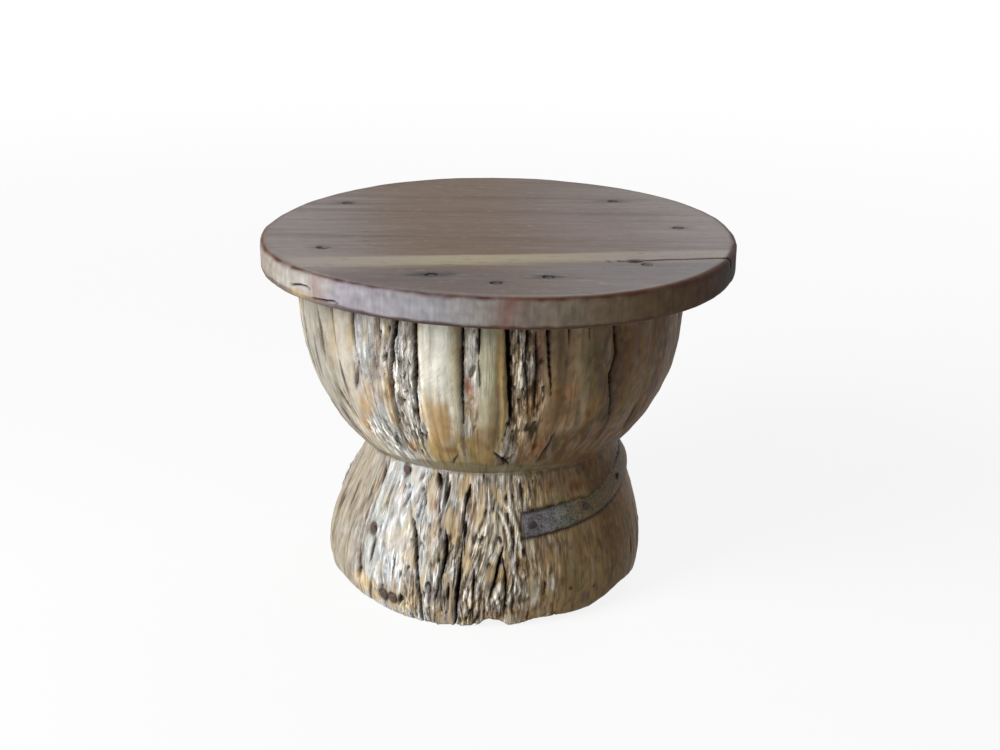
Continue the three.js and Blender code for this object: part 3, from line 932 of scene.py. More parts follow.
def cut_splits(skin):
    """How deep the splits cut, and how far the wood beside them is worn, in millimetres. A split
    has steep walls and a narrow floor, and the wood rounds off towards it. A dark band along each
    split's rim is kept as painted shade."""
    cut = worn = stained = np.zeros_like(skin.height)
    for number, (run, width, depth) in enumerate(ALL_SPLITS):
        angle, along = split_line(run, skin.height)
        ends = split_width(run, along) * (along > 0) * (along < 1)
        ragged = 1 + 0.5 * noise(skin.grain, (40, 40, 26), 20 + number)
        sway = 1.2 * noise(skin.grain, (300, 300, 34), 50 + number)
        off = np.abs(aside(skin.degrees, angle, skin.radius) + sway)
        half = 0.5 * width * ends * ragged + 1e-6
        inner = np.clip(1.25 * (1 - off / half), 0, 1)
        cut = np.maximum(cut, depth * inner**0.7 * smooth(0, 0.25, ends))
        worn = np.maximum(worn, 0.36 * depth**0.5 * ends * bump(off - half, 4) * (off > half))
        # Painted shade: a dark band along each split's rim.
        stained = np.maximum(stained, ends * bump(off - half, 1.2 + 0.25 * width))
    skin.stained = stained
    return cut, worn


def raise_slivers(skin):
    """How high the slivers stand, and where the painted shadow beside the high ones lies."""
    high_wood = dark = np.zeros_like(skin.height)
    for run, width, high in ALL_SLIVERS:
        angle, along = split_line(run, skin.height)
        ends = np.sqrt(np.clip(np.sin(math.pi * np.clip(along, 0, 1)), 0, 1))
        off = aside(skin.degrees, angle, skin.radius) + 0.8 * skin.wander
        high_wood = np.maximum(high_wood, high * ends * bump(off, 0.6 * width))
        shown = ends * smooth(2.2, 3, high)
        # Painted shadow on both sides of a high sliver.
        dark = np.maximum(dark, shown * bump(np.abs(off) - 1.15 * width, 1.3))
    skin.sliver, skin.beside_sliver = high_wood, dark


def off_nail(skin, place, radius):
    """The distance from a nail in the log, which is given by its angle and its height."""
    return np.hypot(aside(skin.degrees, place[0], radius), skin.height - place[1])


def log_relief(skin):
    """The whole relief. Wood lies calm beside the nails and along the strap, a lip of it covers
    the strap's upper edge, and the strap's own bed is smooth."""
    read_zones(skin)
    calm_the_waist(skin)
    relief = fibre_relief(skin)
    cut, worn = cut_splits(skin)
    raise_slivers(skin)

    calm = dent = np.zeros_like(relief)
    for place in LOG_NAILS.values():
        off = off_nail(skin, place, skin.radius)
        calm = np.maximum(calm, smooth(12, 6.5, off))
        dent = np.maximum(dent, 1.5 * smooth(8.2, 6.6, off))
    across, beside = across_strap(skin.degrees, skin.height)
    calm = np.maximum(calm, beside * smooth(22, 14.5, np.abs(across)))

    curled = smooth(2.4, 3.4, skin.sliver)
    skin.torn = skin.torn * (1 - 0.8 * curled)
    skin.cut = np.where(calm > 0.5, 0.0, cut)
    skin.pits = skin.pits * (1 - calm)
    relief = (relief * (1 - 0.7 * curled) + skin.sliver - worn) * (1 - 0.92 * calm) - dent

    lip = strap_lip(skin.degrees, skin.height)
    over_strap = across - (STRAP_WIDTH / 2 + STRAP_PLAY - lip)
    relief += np.clip(0.45 * lip, 0, 2.6) * beside * smooth(12, 1, over_strap) * (over_strap > 0)
    bed = beside * (across > -STRAP_WIDTH / 2 - STRAP_PLAY) * (over_strap < 0)
    skin.edge = np.maximum(over_strap, -across - STRAP_WIDTH / 2) + 99 * (beside < 0.5)
    return np.where(bed > 0.5, STRAP_PROUD - STRAP_THICKNESS - 0.5, relief) - skin.cut


print("the deepest split goes down", max(depth for *_, depth in ALL_SPLITS), "mm")

# %% [markdown]
# The colours start from the charts. Torn wood is bleached on its ridges, partly a painted highlight
# on the lit left, and dark in its creases, which is painted shade. Splits, pits and two small holes
# go nearly black, painted shade too, and stains sit at their own places: rust under the nails,
# ochre and green-grey patches, and the darker wood along the strap. Painted shadows lie beside the
# high slivers, along the strap's edges, under the plank, at the bowl's lower edge and under one
# panel's end, and the collar below that edge is partly painted shade.

# %% Stains on the log
BLEACHED = linear("dfe0dd")
DEEP_BROWN = linear("4a3a2a")
BLACK_BROWN = linear("1a130e")
STAINS_AND_SHADOWS = [
    # angle, height, half width in degrees, half height, colour, strength
    (-5.7, 326, 1.6, 13, "8a4a34", 0.85),
    (-5.0, 296, 2.4, 22, "c09a6a", 0.6),
    (-43.6, 244, 2.0, 20, "bf8b45", 0.7),
    (-41.2, 276, 1.7, 18, "c6954f", 0.65),
    (-50, 256, 3.4, 28, "e6ddca", 0.6),
    (-14.8, 272, 5.2, 44, "b18a4a", 0.85),
    (-15, 340, 3.0, 40, "d6d3c4", 0.5),
    (0.4, 330, 2.0, 60, "b9b79a", 0.5),
    (2.6, 350, 1.0, 50, "a07a36", 0.6),
    (-0.6, 258, 4.4, 20, "7d6038", 0.65),
    (-1.6, 284, 2.0, 12, "c2bfa6", 0.4),
    (1.6, 290, 2.4, 40, "86683c", 0.5),
    (-2, 205, 22, 9, "9a9070", 0.55),
    (-12, 232, 3.5, 7, "7d5a40", 0.6),
    (5.5, 218, 5, 10, "5e4635", 0.7),
    (20, 330, 2.6, 60, "4f3d2b", 0.5),
    (26.5, 330, 2.6, 60, "7d7355", 0.5),
    (33, 300, 2.4, 60, "4c3a29", 0.6),
    (38.5, 320, 2.2, 70, "45332a", 0.6),
    (50, 320, 5, 60, "6d5334", 0.55),
    (60, 330, 3, 60, "4a3a29", 0.5),
    (18, 250, 3, 22, "7c5831", 0.5),
    (27, 248, 4, 20, "5b4028", 0.5),
    (45, 262, 4, 22, "705432", 0.5),
    (-33, 236, 5, 22, "dcdad0", 0.6),
    (-28, 226, 2.4, 9, "b88a4a", 0.7),
    (-37, 300, 3, 16, "c7a878", 0.5),
    (-30.5, 300, 2.4, 22, "cda673", 0.5),
    (8.4, 300, 3.6, 22, "9c7038", 0.5),
    (13.2, 372, 1.8, 28, "7c5038", 0.6),
    (22, 285, 6, 18, "6f5231", 0.5),
    (30, 350, 3, 40, "74704e", 0.4),
    (44, 340, 1.4, 60, "6d5a50", 0.5),
    (40, 270, 3, 30, "5d4a34", 0.5),
    (30, 222, 16, 16, "6f5740", 0.45),
    (-44, 62, 4, 12, "c9c6c0", 0.5),
    (-40, 22, 8, 15, "d8bd8a", 0.6),
    (-50, 24, 6, 16, "d2b273", 0.6),
    (-27, 44, 4, 22, "d2b784", 0.5),
    (-16, 22, 4, 18, "c9a970", 0.55),
    (-5, 34, 2.4, 24, "bb9860", 0.45),
    (-30, 96, 3, 26, "d9c7a0", 0.45),
    (-19, 120, 2.4, 20, "c8a77a", 0.4),
    (36, 96, 3, 22, "5f4630", 0.5),
    (48, 44, 3, 26, "5c4330", 0.5),
    (26, 112, 2, 26, "57442f", 0.5),
    (17, 44, 2, 20, "dcd8cc", 0.6),
    (23, 56, 1.6, 16, "cfc9ba", 0.5),
    (-26, 26, 3, 20, "ad8b58", 0.5),
    (-47.2, 99, 2.2, 9, "6e6a66", 0.6),
    (-36, 23, 3.4, 8, "5c564e", 0.35),
    (-44, 132, 3.4, 14, "c2bca4", 0.6),
    (-38.1, 155, 2.4, 9, "cbb09a", 0.6),
    (-21, 150, 2, 9, "9a4f3c", 0.4),
    (-12, 118, 3, 12, "9c8a5e", 0.5),
    (-17, 82, 3, 26, "9f8b58", 0.5),
    (-8, 142, 3, 10, "8b4f38", 0.5),
    (6.5, 70, 3, 14, "a8834c", 0.6),
    (3, 18, 3, 16, "ab7d48", 0.6),
    (10, 48, 2, 18, "d6d3c8", 0.4),
    (30, 176, 8, 12, "74492f", 0.5),
    (52, 190, 6, 10, "7c4f33", 0.4),
    (40, 60, 10, 30, "8d7a52", 0.4),
    (20, 20, 10, 14, "9c7a4c", 0.5),
    (-33, 20, 6, 14, "e0c98f", 0.75),
    (45, 293, 2.6, 24, "6e5a28", 0.6),
    (22.5, 316, 3.6, 12, "8a5c33", 0.6),
    (23.3, 293, 3.4, 9, "7f4c2a", 0.6),
    # These two are painted shadow under the lower end of the panel at 37 degrees.
    (37.6, 274, 2.6, 18, "2a2219", 0.6),
    (37.2, 304, 1.6, 20, "33281d", 0.5),
    (32.7, 350, 2.4, 24, "54423a", 0.5),
    (15.8, 236, 4, 10, "8c5a32", 0.6),
    (13.4, 310, 2.2, 26, "8f6a3c", 0.5),
    (28, 350, 1.6, 26, "5c5a40", 0.5),
    (60.6, 315, 2.4, 14, "7a4a26", 0.45),
    (32.3, 292, 2.6, 16, "84662f", 0.5),
    (43.4, 181, 2.6, 9, "3a281a", 0.7),
    (38.5, 163, 4, 7, "6a3a22", 0.7),
    (38.2, 189, 6, 6, "705648", 0.5),
    (27.7, 154, 3, 7, "a59678", 0.5),
    (12.6, 79, 2.4, 9, "9a6c35", 0.6),
    (21.6, 100, 3, 20, "735a50", 0.5),
    (37.3, 24, 2, 10, "4c3a34", 0.6),
    (33.8, 49, 3, 12, "6b5a2e", 0.5),
    # These two are small holes, painted near black for the shade inside them.
    (30.9, 43, 0.8, 2.4, "17100b", 1),
    (41.3, 36, 0.8, 2.2, "17100b", 1),
]
MOTTLES = [
    # seed, size in millimetres, colour, strength in the shade on the right
    (61, 10, "865e32", 0.32),
    (62, 8, "3d2c1f", 0.45),
    (63, 12, "6c6846", 0.34),
    (64, 6, "9c8058", 0.2),
]
STREAKS = [
    # seed, colour, strength, share of it that the foot has, share of it in the shade on the right
    (15, "6b5138", 0.5, 1, 1),
    (16, "c9a866", 0.5, 0.6, 1),
    (17, "b9aeb0", 0.35, 1, 0.2),
]
print(len(STAINS_AND_SHADOWS), "stains on the log")

# %% Colour of the log


def broad_colours(skin, shaded):
    """The charts' colours, mottled, streaked, with stains and a few painted shadows, and patches in
    the shade.
    """
    grain, flow, degrees, height = skin.grain, skin.flow, skin.degrees, skin.height
    mottle = 0.14 * noise(grain, (24, 24, 60), 12) + 0.12 * noise(flow, (6, 6, 60), 13)
    paint = Paint(skin.colour * (1 + mottle)[..., None])
    tone = np.clip(skin.colour.mean(axis=-1) / 0.36, 0.3, 1.2)[..., None]
    plain = 0.6 + 0.4 * smooth(0.1, 0.4, skin.torn)
    upper = smooth(225, 275, height)
    for seed, code, strength, on_foot, in_shade in STREAKS:
        strength = strength * plain * np.where(skin.in_foot, on_foot, 1)
        strength = strength * (1 - (1 - in_shade) * shaded)
        long, short = noise(flow, (5.5, 5.5, 95), seed), noise(flow, (10, 10, 26), seed + 4)
        streak = short + (long - short) * upper
        paint.coat(linear(code) * tone, strength * smooth(0.12, 0.5, streak))
    for angle, middle, wide, high, code, strength in STAINS_AND_SHADOWS:
        off = np.hypot(turned_by(degrees - angle) / wide, (height - middle) / high)
        ragged = off + 0.5 * noise(flow, (6, 6, 22), 14)
        paint.coat(code, strength * smooth(1.35, 0.55, ragged))
    paint.coat(linear("ad9468") * tone, 0.6 * skin.island)
    for seed, size, code, strength in MOTTLES:
        patch = smooth(0.16, 0.42, noise(grain, (size, size, 1.6 * size), seed))
        paint.coat(code, strength * (0.35 + 0.65 * shaded) * patch)
    return paint


def log_colour(skin):
    """Over the broad colours come the bleached ridges, partly painted highlight on the lit left,
    painted shade in the creases, the slivers and the painted shadow beside them, the collar at the
    bowl's lower edge with its painted shade, the dark round the nails, and painted shade along the
    strap's edges, under the plank, in the pits and in the splits."""
    grain, degrees, torn, ridge = skin.grain, skin.degrees, skin.torn, skin.ridge
    paint = broad_colours(skin, smooth(-4, 24, degrees) * smooth(130, 95, degrees))
    # Bleached ridges and slivers: partly bleached wood and partly painted highlight, strongest on
    # the lit left.
    left = 0.35 + 0.65 * smooth(24, -14, degrees)
    paint.coat(BLEACHED, 0.8 * left * torn * smooth(0.5, 0.95, ridge))
    paint.coat(BLEACHED, 0.4 * left * smooth(0.8, 2.4, skin.sliver))
    # Painted shade in the creases of torn wood.
    crease_shade = np.clip(1.2 * torn, 0, 1) * smooth(0.40, 0.08, ridge)
    paint.coat(DEEP_BROWN, np.where(skin.in_foot, 0.85, 0.72) * crease_shade)
    paint.coat(DEEP_BROWN, 0.3 * smooth(0.1, 0.5, noise(skin.flow, (4, 4, 120), 18)))
    # Painted shade along the split rims, and painted shadow beside the high slivers.
    paint.coat(DEEP_BROWN, 0.55 * skin.stained)
    paint.coat(DEEP_BROWN, 0.85 * skin.beside_sliver)
    paint.coat("e9e2d0", smooth(2.2, 3.2, skin.sliver))

    # The collar under the bowl's lower edge: olive-grey, partly its own colour and partly painted
    # shade under that edge, with a painted shadow line at its top and painted shade in the waist
    # crease.
    over = skin.over_waist + 3 * noise(grain, (16, 16, 16), 19) + 3 * noise(grain, (6, 6, 9), 26)
    top = 8 + 13 * bump(degrees + 7, 26)
    collar = smooth(top + 4, top - 4, over) * (skin.over_waist > 0) * smooth(48, 20, degrees)
    banding = 0.14 * noise(grain, (40, 40, 5), 20)
    paint.coat(linear("7c735b") * (1 + banding)[..., None], 0.7 * collar)
    paint.coat("57472f", 0.35 * bump(over - top, 2.6))
    paint.coat("4f4030", 0.5 * bump(over, 2.0))

    # Painted shadow along the strap's edges.
    paint.coat(BLACK_BROWN, 0.85 * bump(skin.edge - 1, 2.2))
    for place in LOG_NAILS.values():
        paint.coat("3a302b", 0.85 * bump(off_nail(skin, place, 190) - 6.8, 2.2))
    # Painted shadow under the plank's overhang.
    paint.coat(DEEP_BROWN, 0.6 * smooth(398, 411, skin.height))
    # Painted shade in the pits and in the splits.
    paint.coat(BLACK_BROWN, 0.85 * skin.pits)
    paint.coat(BLACK_BROWN, smooth(0.6, 5, skin.cut))
    return paint.colour


print(len(MOTTLES), "mottles and", len(STREAKS), "streaks run through the log's colour")

# %% [markdown]
# ## The log's mesh
#
# The rings start in the middle of the underside, go out to the worn lower edge, up the foot and the
# bowl, in over the rim, and down into the hollow that the plank hides. The lower edge is ragged:
# where wood has broken away, its ring climbs off the floor.

# %% Build the log
LOWER_EDGE = [
    # angle, height of the worn edge above the floor
    (-180, 0), (-146, 0.5), (-139, 6), (-128, 8.5), (-117, 6), (-108, 0.5), (-80, 0), (-73, 5),
    (-66, 9), (-60, 5), (-54, 0.5), (-46, 1.5), (-30, 0), (-9.5, 0), (-2.5, 3), (0.5, 11),
    (3.2, 11), (6, 5), (8.5, 0.6), (12.5, 0.6), (15.5, 4), (20, 6.5), (27, 5), (34, 3.4), (41, 4.4),
    (45, 9), (49, 13), (54, 19), (62, 19), (70, 14), (78, 4), (84, 0.5), (130, 0), (137, 6),
    (149, 12), (160, 7), (166, 0), (180, 0),
]
LOG_COLUMNS = 590
LOG_ROWS = [(0, 72), (170, 13), (192, 27), (262, 40)]  # height, rows from it to the next height


def log_rows():
    """Lathe heights of the outer rings: even on the foot, closer round the waist, wider above."""
    ends = [height for height, _ in LOG_ROWS[1:]] + [LOG_TOP]
    rows = [np.linspace(low, end, n, endpoint=False) for (low, n), end in zip(LOG_ROWS, ends)]
    return np.concatenate([*rows, [LOG_TOP]])


def log_mesh():
    """The rings of the log, each point moved out by its relief, with its colour and its grain."""
    rows = log_rows()
    mean_height = rows + 8 * waist_share(rows)
    turn = log_turns(LOG_COLUMNS, mean_height)
    degrees = np.degrees(turn[0])
    angles, edges = np.array(LOWER_EDGE, float).T
    edge = np.interp(degrees, angles, edges)
    ragged = round_log(turn[0], HEEL_RADIUS, 0 * edge)
    edge = np.clip(edge * (1 + 0.1 * noise(ragged, 12, 31)) + 0.3 * noise(ragged, 7, 32), 0, None)
    lathe = rows[:, None] + edge * np.clip(1 - rows[:, None] / 60, 0, 1) ** 1.5
    height = tilted_height(turn, lathe)
    skin = log_skin(turn, lathe, height)

    radius = skin.radius + log_relief(skin)
    radius -= 2.5 * bump(rows[:, None], 2.5) + 1.2 * bump(rows[:, None] - LOG_TOP, 1.5)
    outer = round_log(turn, radius, height)

    under_shares = np.array([0.2, 0.55, 0.8, 0.9, 0.965])[:, None]
    under_height = height[0] * smooth(0.8, 1.0, under_shares) ** 1.5
    under = round_log(turn[0], radius[0] * under_shares, under_height)

    inward = np.array([0.05, 0.3, 1.0])[:, None]
    rim = round_log(turn[-1], radius[-1] + (HOLLOW_RADIUS - radius[-1]) * inward, LOG_TOP)
    fall = np.linspace(0, 85, 8)[1:, None]
    hollow_radius = HOLLOW_RADIUS * np.cos(np.radians(fall)) * np.ones(LOG_COLUMNS)
    hollow = round_log(turn[-1], hollow_radius, LOG_TOP - HOLLOW_DEPTH * np.sin(np.radians(fall)))

    inner = np.concatenate([rim, hollow])
    row = np.ones((1, LOG_COLUMNS, 1))
    under_colour = np.repeat(row * linear("7d6c55"), len(under), axis=0)
    inner_colour = np.repeat(row * linear("6b5a45"), len(inner), axis=0)
    colour = np.concatenate([under_colour, log_colour(skin), inner_colour])
    torn = np.pad(skin.torn, ((len(under), len(inner)), (0, 0)), constant_values=0.4)
    under_grain = straight_grain(turn[0], under[..., 2])
    inner_grain = straight_grain(turn[-1], inner[..., 2])
    grain = np.concatenate([under_grain, skin.grain, inner_grain]) * MM
    rings = np.concatenate([under, outer, inner])
    return mesh_of_rings("mortar_log", rings, tint=colour, grain=grain, torn=torn)


print(len(log_rows()), "outer rings of", LOG_COLUMNS, "points")

# %% [markdown]
# The wood's finish reads the painted colour and adds what is finer than the mesh: fibres less than
# a millimetre wide, drawn out along the grain, thin dark checks, and pores. Painted shade darkens
# the checks, the pits and the creases between strands, and painted glints light the torn wood. The
# same fibres lift the surface in the Bump node. Torn wood is rougher than the smooth, waxed panels.

# %% Weathered wood


def weathered_wood():
    """Fibres, hairs, stripes, strands, checks, pits and blotches over the painted colour, with
    painted shade in the creases, pits and checks, and painted glints.
    """
    wood = Finish("weathered_wood", grain="grain", specular_ior_level=0.12)
    torn = wood.attribute("torn")
    tint = wood.attribute("tint", out="Vector")
    fibres = wood.cloud((420, 420, 20), detail=5, coarse=0.6, bend=0.3)
    hairs = wood.cloud((1300, 1300, 60), detail=3, coarse=0.5)
    stripes = wood.cloud((170, 170, 7), detail=3, coarse=0.55, bend=0.4)
    specks = wood.cloud((330, 330, 150), detail=3, coarse=0.6)
    waves = (wood.cloud((200, 200, 24), detail=3, coarse=0.55, bend=0.4) - 0.5) * 7
    strand = abs(waves).between(0.0, 1.0)
    lenses = wood.cloud((215, 215, 66), detail=3, coarse=0.6, bend=0.5)
    pit = (1 - lenses).between(0.58, 0.68) * torn
    glint = lenses.between(0.5, 0.62) * torn
    checks = (wood.cloud((230, 230, 9), detail=2, coarse=0.5, bend=0.8) - 0.5) * 22
    check = (1 - abs(checks).between(0.0, 1.0)) * stripes.between(0.5, 0.62) * (torn * 0.7 + 0.3)
    blotches = wood.cloud((60, 60, 32), detail=5, coarse=0.62)
    light = fibres.between(0.3, 0.7) * 0.34 + hairs * 0.16 + stripes * 0.22 - 0.36
    light = light * (torn * 0.95 + 0.12) + (blotches - 0.5) * 0.62 + torn * 0.36 + 1.04
    light = light + (specks - 0.5) * (torn * 0.3 + 0.12)
    colour = wood.shade(tint, light)
    colour = wood.mix(stripes.between(0.58, 0.72) * 0.35, colour, "a5844f", blend="MULTIPLY")
    # Painted shade in the creases between strands. The glint below is a painted highlight.
    colour = wood.mix((1 - strand) * torn * 0.6, colour, "3b2e22")
    colour = wood.shade(colour, glint * 0.62 + 1)
    # Painted shade in the pits and in the checks.
    colour = wood.mix(pit * 0.75, colour, "33281e")
    colour = wood.mix(check * 0.8, colour, "241a12")
    height = (fibres * 0.6 + hairs * 0.2) * (torn * 0.85 + 0.12) + blotches * 0.9
    height = height + (specks * 0.5 + lenses * 1.7 + strand * 1.1) * torn - check * 0.9
    return wood.feed(
        base_color=colour,
        roughness=torn * 0.28 + fibres * 0.14 + 0.42,
        normal=wood.relief(height, 0.0014, 0.9),
    )


piece("mortar_log", log_mesh(), weathered_wood(), "log_wood", "mortar_body")

# %% [markdown]
# ## The plank
#
# The top is one thick plank, cut round by hand, so its outline swells in slow waves and its edge
# shows the marks of the tool. Its rings run out from the middle of the underside, up the edge, and
# in again over the face. They lie close together where the nails are, and the columns crowd to the
# nails and to the split.

# %% Driving sizes of the plank
PLANK_MIDDLE = np.array([2.5625, -3.2271])
TOP = 450
PLANK_FLOOR = 413
PLANK_RADIUS = 297
ARRIS = 7
PLANK_COLUMNS = 700
SPLIT_FROM = np.array([310, -112]) + PLANK_MIDDLE
SPLIT_TO = np.array([112, -146]) + PLANK_MIDDLE
SPLIT_WIDTH = 5.4
KNOT = np.array([155, -138]) + PLANK_MIDDLE
KNOT_REACH = (12.5, 9)
TOP_NAILS = [
    # angle, how far in from the rim's outer face
    (-124.3, 9), (-63.7, 21), (-17.5, 26), (1.7, 8), (17.3, 20), (50.1, 8), (95.7, 8), (135.5, 12)
]
SPLIT_REACH = 14  # the split shows this far down the plank's side
TOP_NAIL_SINK = 1.2


def nail_place(angle, inset):
    """A top nail stands over the rim, this far in from its outer face."""
    radius = log_radius(angle, LOG_TOP) - inset
    return round_log(math.radians(angle), radius, TOP - TOP_NAIL_SINK)


NAIL_PLACES = np.array([nail_place(angle, inset) for angle, inset in TOP_NAILS])


def plank_outline(turn):
    """The plank's radius: 297 mm plus waves of two, three and four swellings round it."""
    oval = 4 * np.cos(2 * (turn - math.radians(6)))
    lobes = 4.2 * np.cos(3 * (turn - math.radians(49)))
    corners = 2.7 * np.cos(4 * (turn - math.radians(27)))
    return PLANK_RADIUS + oval + lobes + corners


def round_plank(turn, radius, height):
    """Points about the plank's middle."""
    x = PLANK_MIDDLE[0] + radius * np.sin(turn)
    y = PLANK_MIDDLE[1] - radius * np.cos(turn)
    return np.stack(np.broadcast_arrays(x, y, height), axis=-1)


def polar(point):
    """The turn in degrees and the radius of a point on the plank."""
    x, y = (np.asarray(point) - PLANK_MIDDLE).T
    return np.degrees(np.arctan2(x, -y)), np.hypot(x, y)


print("nails stand", np.round(polar(NAIL_PLACES[:, :2])[1]), "mm from the plank's middle")

# %% Rings of the plank


def plank_profile():
    """Inset from the outline, and height, of each ring from the underside to the middle of the top.
    The arrises are quarter circles."""
    quarter = np.radians(np.linspace(0, 90, 7))
    low = np.stack([ARRIS * (1 - np.sin(quarter)), PLANK_FLOOR + ARRIS * (1 - np.cos(quarter))], 1)
    side = np.linspace(PLANK_FLOOR + ARRIS, TOP - ARRIS, 20)[1:-1]
    side = np.stack([np.zeros_like(side), side], 1)
    high = np.stack([ARRIS * (1 - np.cos(quarter)), TOP - ARRIS * (1 - np.sin(quarter))], 1)
    under = [(inset, PLANK_FLOOR) for inset in (280, 200, 120, 40, 15)]
    by_nails = [*np.arange(ARRIS + 2.5, 38, 2.6), *np.arange(38, 104, 1.45)]
    over = [(inset, TOP) for inset in [*by_nails, *np.linspace(106, 285, 24)]]
    return np.concatenate([under, low, side, high, over])


def plank_turns(insets):
    """Columns that crowd to the split and to the nails, row by row, as on the log."""
    fine = np.linspace(-180, 180, 3601)
    radius = PLANK_RADIUS - insets
    density = np.ones((len(insets), len(fine)))
    along = np.linspace(0, 1, 200)[:, None]
    split_turn, split_radius = polar(SPLIT_FROM + (SPLIT_TO - SPLIT_FROM) * along)
    angle = np.interp(radius, split_radius[::-1], split_turn[::-1])
    present = smooth(split_radius.min() - 12, split_radius.min() + 6, radius)
    reach = np.degrees(4.5 / np.maximum(radius, 60))
    density += (3.2 * present)[:, None] * bump(turned_by(fine - angle[:, None]), reach[:, None])
    for turn, at in zip(*polar(NAIL_PLACES[:, :2])):
        near = bump(radius - at, 13)
        reach = np.degrees(8.5 / at)
        density += (1.9 * near)[:, None] * bump(turned_by(fine - turn), reach)
    return spread_turns(PLANK_COLUMNS, density, fine)


print(len(plank_profile()), "rings of", PLANK_COLUMNS, "points")

# %% [markdown]
# The face is not quite flat: a hand plane left it in slow hollows. The split is a V that narrows
# towards its end at the knot, and round each nail the wood is crushed down to the head. Two short
# cracks open in the edge at the left, where the end grain dried first.

# %% Shape the plank
EDGE_CRACKS = [
    ([(-53.5, 427), (-52.5, 427.6), (-49.3, 431.6), (-47.2, 431.6), (-45.6, 428.6)], 1.5),
    ([(-45.6, 420.6), (-41.2, 421.6), (-38.9, 423.4), (-37.2, 420.8)], 1.3),
]


def off_split(points):
    """The distance from the top's split, and the share along it from the edge to its end."""
    heading = SPLIT_TO - SPLIT_FROM
    length = np.linalg.norm(heading)
    away = points[..., :2] - SPLIT_FROM
    along = away @ heading / length**2
    side = (away[..., 0] * heading[1] - away[..., 1] * heading[0]) / length
    return side + 0.8 * noise(points, 22, 41), along


def edge_cracks(degrees, height):
    """1 in the middle of a crack in the plank's edge, and 0 beside it."""
    crack = np.zeros_like(degrees)
    for run, width in EDGE_CRACKS:
        angles, heights = np.array(run, float).T
        middle = np.interp(degrees, angles, heights)
        begun = smooth(angles[0], angles[0] + 1.2, degrees)
        present = begun * smooth(angles[-1], angles[-1] - 1.2, degrees)
        open_at = np.clip(1.5 - np.abs(height - middle) / width * 1.5, 0, 1)
        crack = np.maximum(crack, present * open_at)
    return crack


def off_knot(points):
    """0 in the middle of the knot and 1 on its rim, an ellipse that lies nearly along the grain."""
    turned = (points[..., :2] - KNOT) @ np.array([[0.98, -0.17], [0.17, 0.98]])
    return np.hypot(turned[..., 0] / KNOT_REACH[0], turned[..., 1] / KNOT_REACH[1])


def worn_edge(turn, inset, level):
    """Radius and height of the plank's points. The side is uneven from the tool, and the upper
    arris is more worn in some places than in others."""
    outline = plank_outline(turn)
    plain = round_plank(turn, outline, level)
    on_edge = smooth(14, 5, inset) * (level > PLANK_FLOOR + 0.1)
    hewn = 0.7 * noise(plain, (28, 28, 60), 42) + 0.35 * noise(plain, (7, 7, 16), 43)
    hewn += 0.1 * noise(plain, (2.6, 2.6, 22), 44)
    wear = 1 + 0.45 * noise(round_plank(turn, outline, 0 * outline), 45, 45)
    high_arris = (level > TOP - ARRIS) & (inset < ARRIS + 0.01)
    scaled_inset = np.where(high_arris, inset * wear, inset)
    drop = np.where(high_arris, (TOP - level) * (wear - 1), 0)
    radius = outline - np.minimum(scaled_inset, outline * inset / PLANK_RADIUS)
    return radius + np.where(on_edge > 0, on_edge * hewn, 0), level - drop * 0.6 + 0 * turn


def plank_mesh():
    """The plank's rings: the worn edge, its cracks, the split, the knot and the nails' dents."""
    profile = plank_profile()
    inset, level = profile[:, :1], profile[:, 1:]
    turn = plank_turns(profile[:, 0])
    radius, height = worn_edge(turn, inset, level)
    crack = edge_cracks(np.degrees(turn), height) * (inset < 4)
    radius = radius - 5 * crack

    points = round_plank(turn, radius, height)
    over = level >= TOP - 0.01
    face = smooth(ARRIS, ARRIS + 10, inset) * over
    height = height + face * (0.35 * noise(points, (90, 60, 90), 46) - 0.2)

    side, along = off_split(points)
    share = np.clip(along, 0, 1)
    half = 0.5 * SPLIT_WIDTH * (1 - 0.75 * share) * (1 + 0.3 * noise(points, 12, 47))
    half *= smooth(1.0, 0.9, along)
    cut = np.clip(1.3 * (1 - np.abs(side) / (half + 1e-6)), 0, 1) * (level > TOP - SPLIT_REACH)
    height = height - cut * 9 * (1 - 0.7 * share) * over
    radius = radius - cut * ~over * 6 * smooth(TOP - SPLIT_REACH, TOP - 8, level)

    knot = off_knot(points)
    height = height - 3.2 * smooth(1.05, 0.3, knot) * over
    for place in NAIL_PLACES:
        off = np.hypot(points[..., 0] - place[0], points[..., 1] - place[1])
        height = height - over * (4.0 * smooth(7.0, 5.9, off) + 0.5 * bump(off, 9))
    skin = SimpleNamespace(points=round_plank(turn, radius, height), degrees=np.degrees(turn))
    skin.inset, skin.level, skin.over = inset + 0 * turn, level + 0 * turn, over
    skin.cut, skin.knot, skin.along, skin.side = np.maximum(cut, crack), knot, along, side
    on_edge = smooth(ARRIS + 1.5, ARRIS - 1.5, skin.inset)
    tint, marks = plank_colour(skin, on_edge)
    return mesh_of_rings("plank_top", skin.points, tint=tint, edge=on_edge, marks=marks)


print(len(EDGE_CRACKS), "cracks in the plank's edge")

# %% [markdown]
# The face is grey-brown with a purple cast, browner in the middle and greyer at its ends, where the
# grey is partly a painted sheen. The edge runs from pale grey at the left to dark brown at the
# right, the dark partly painted shade of the side away from the key lamp, with red-brown along both
# arrises.
# The nails have bled dark stains into the wood.

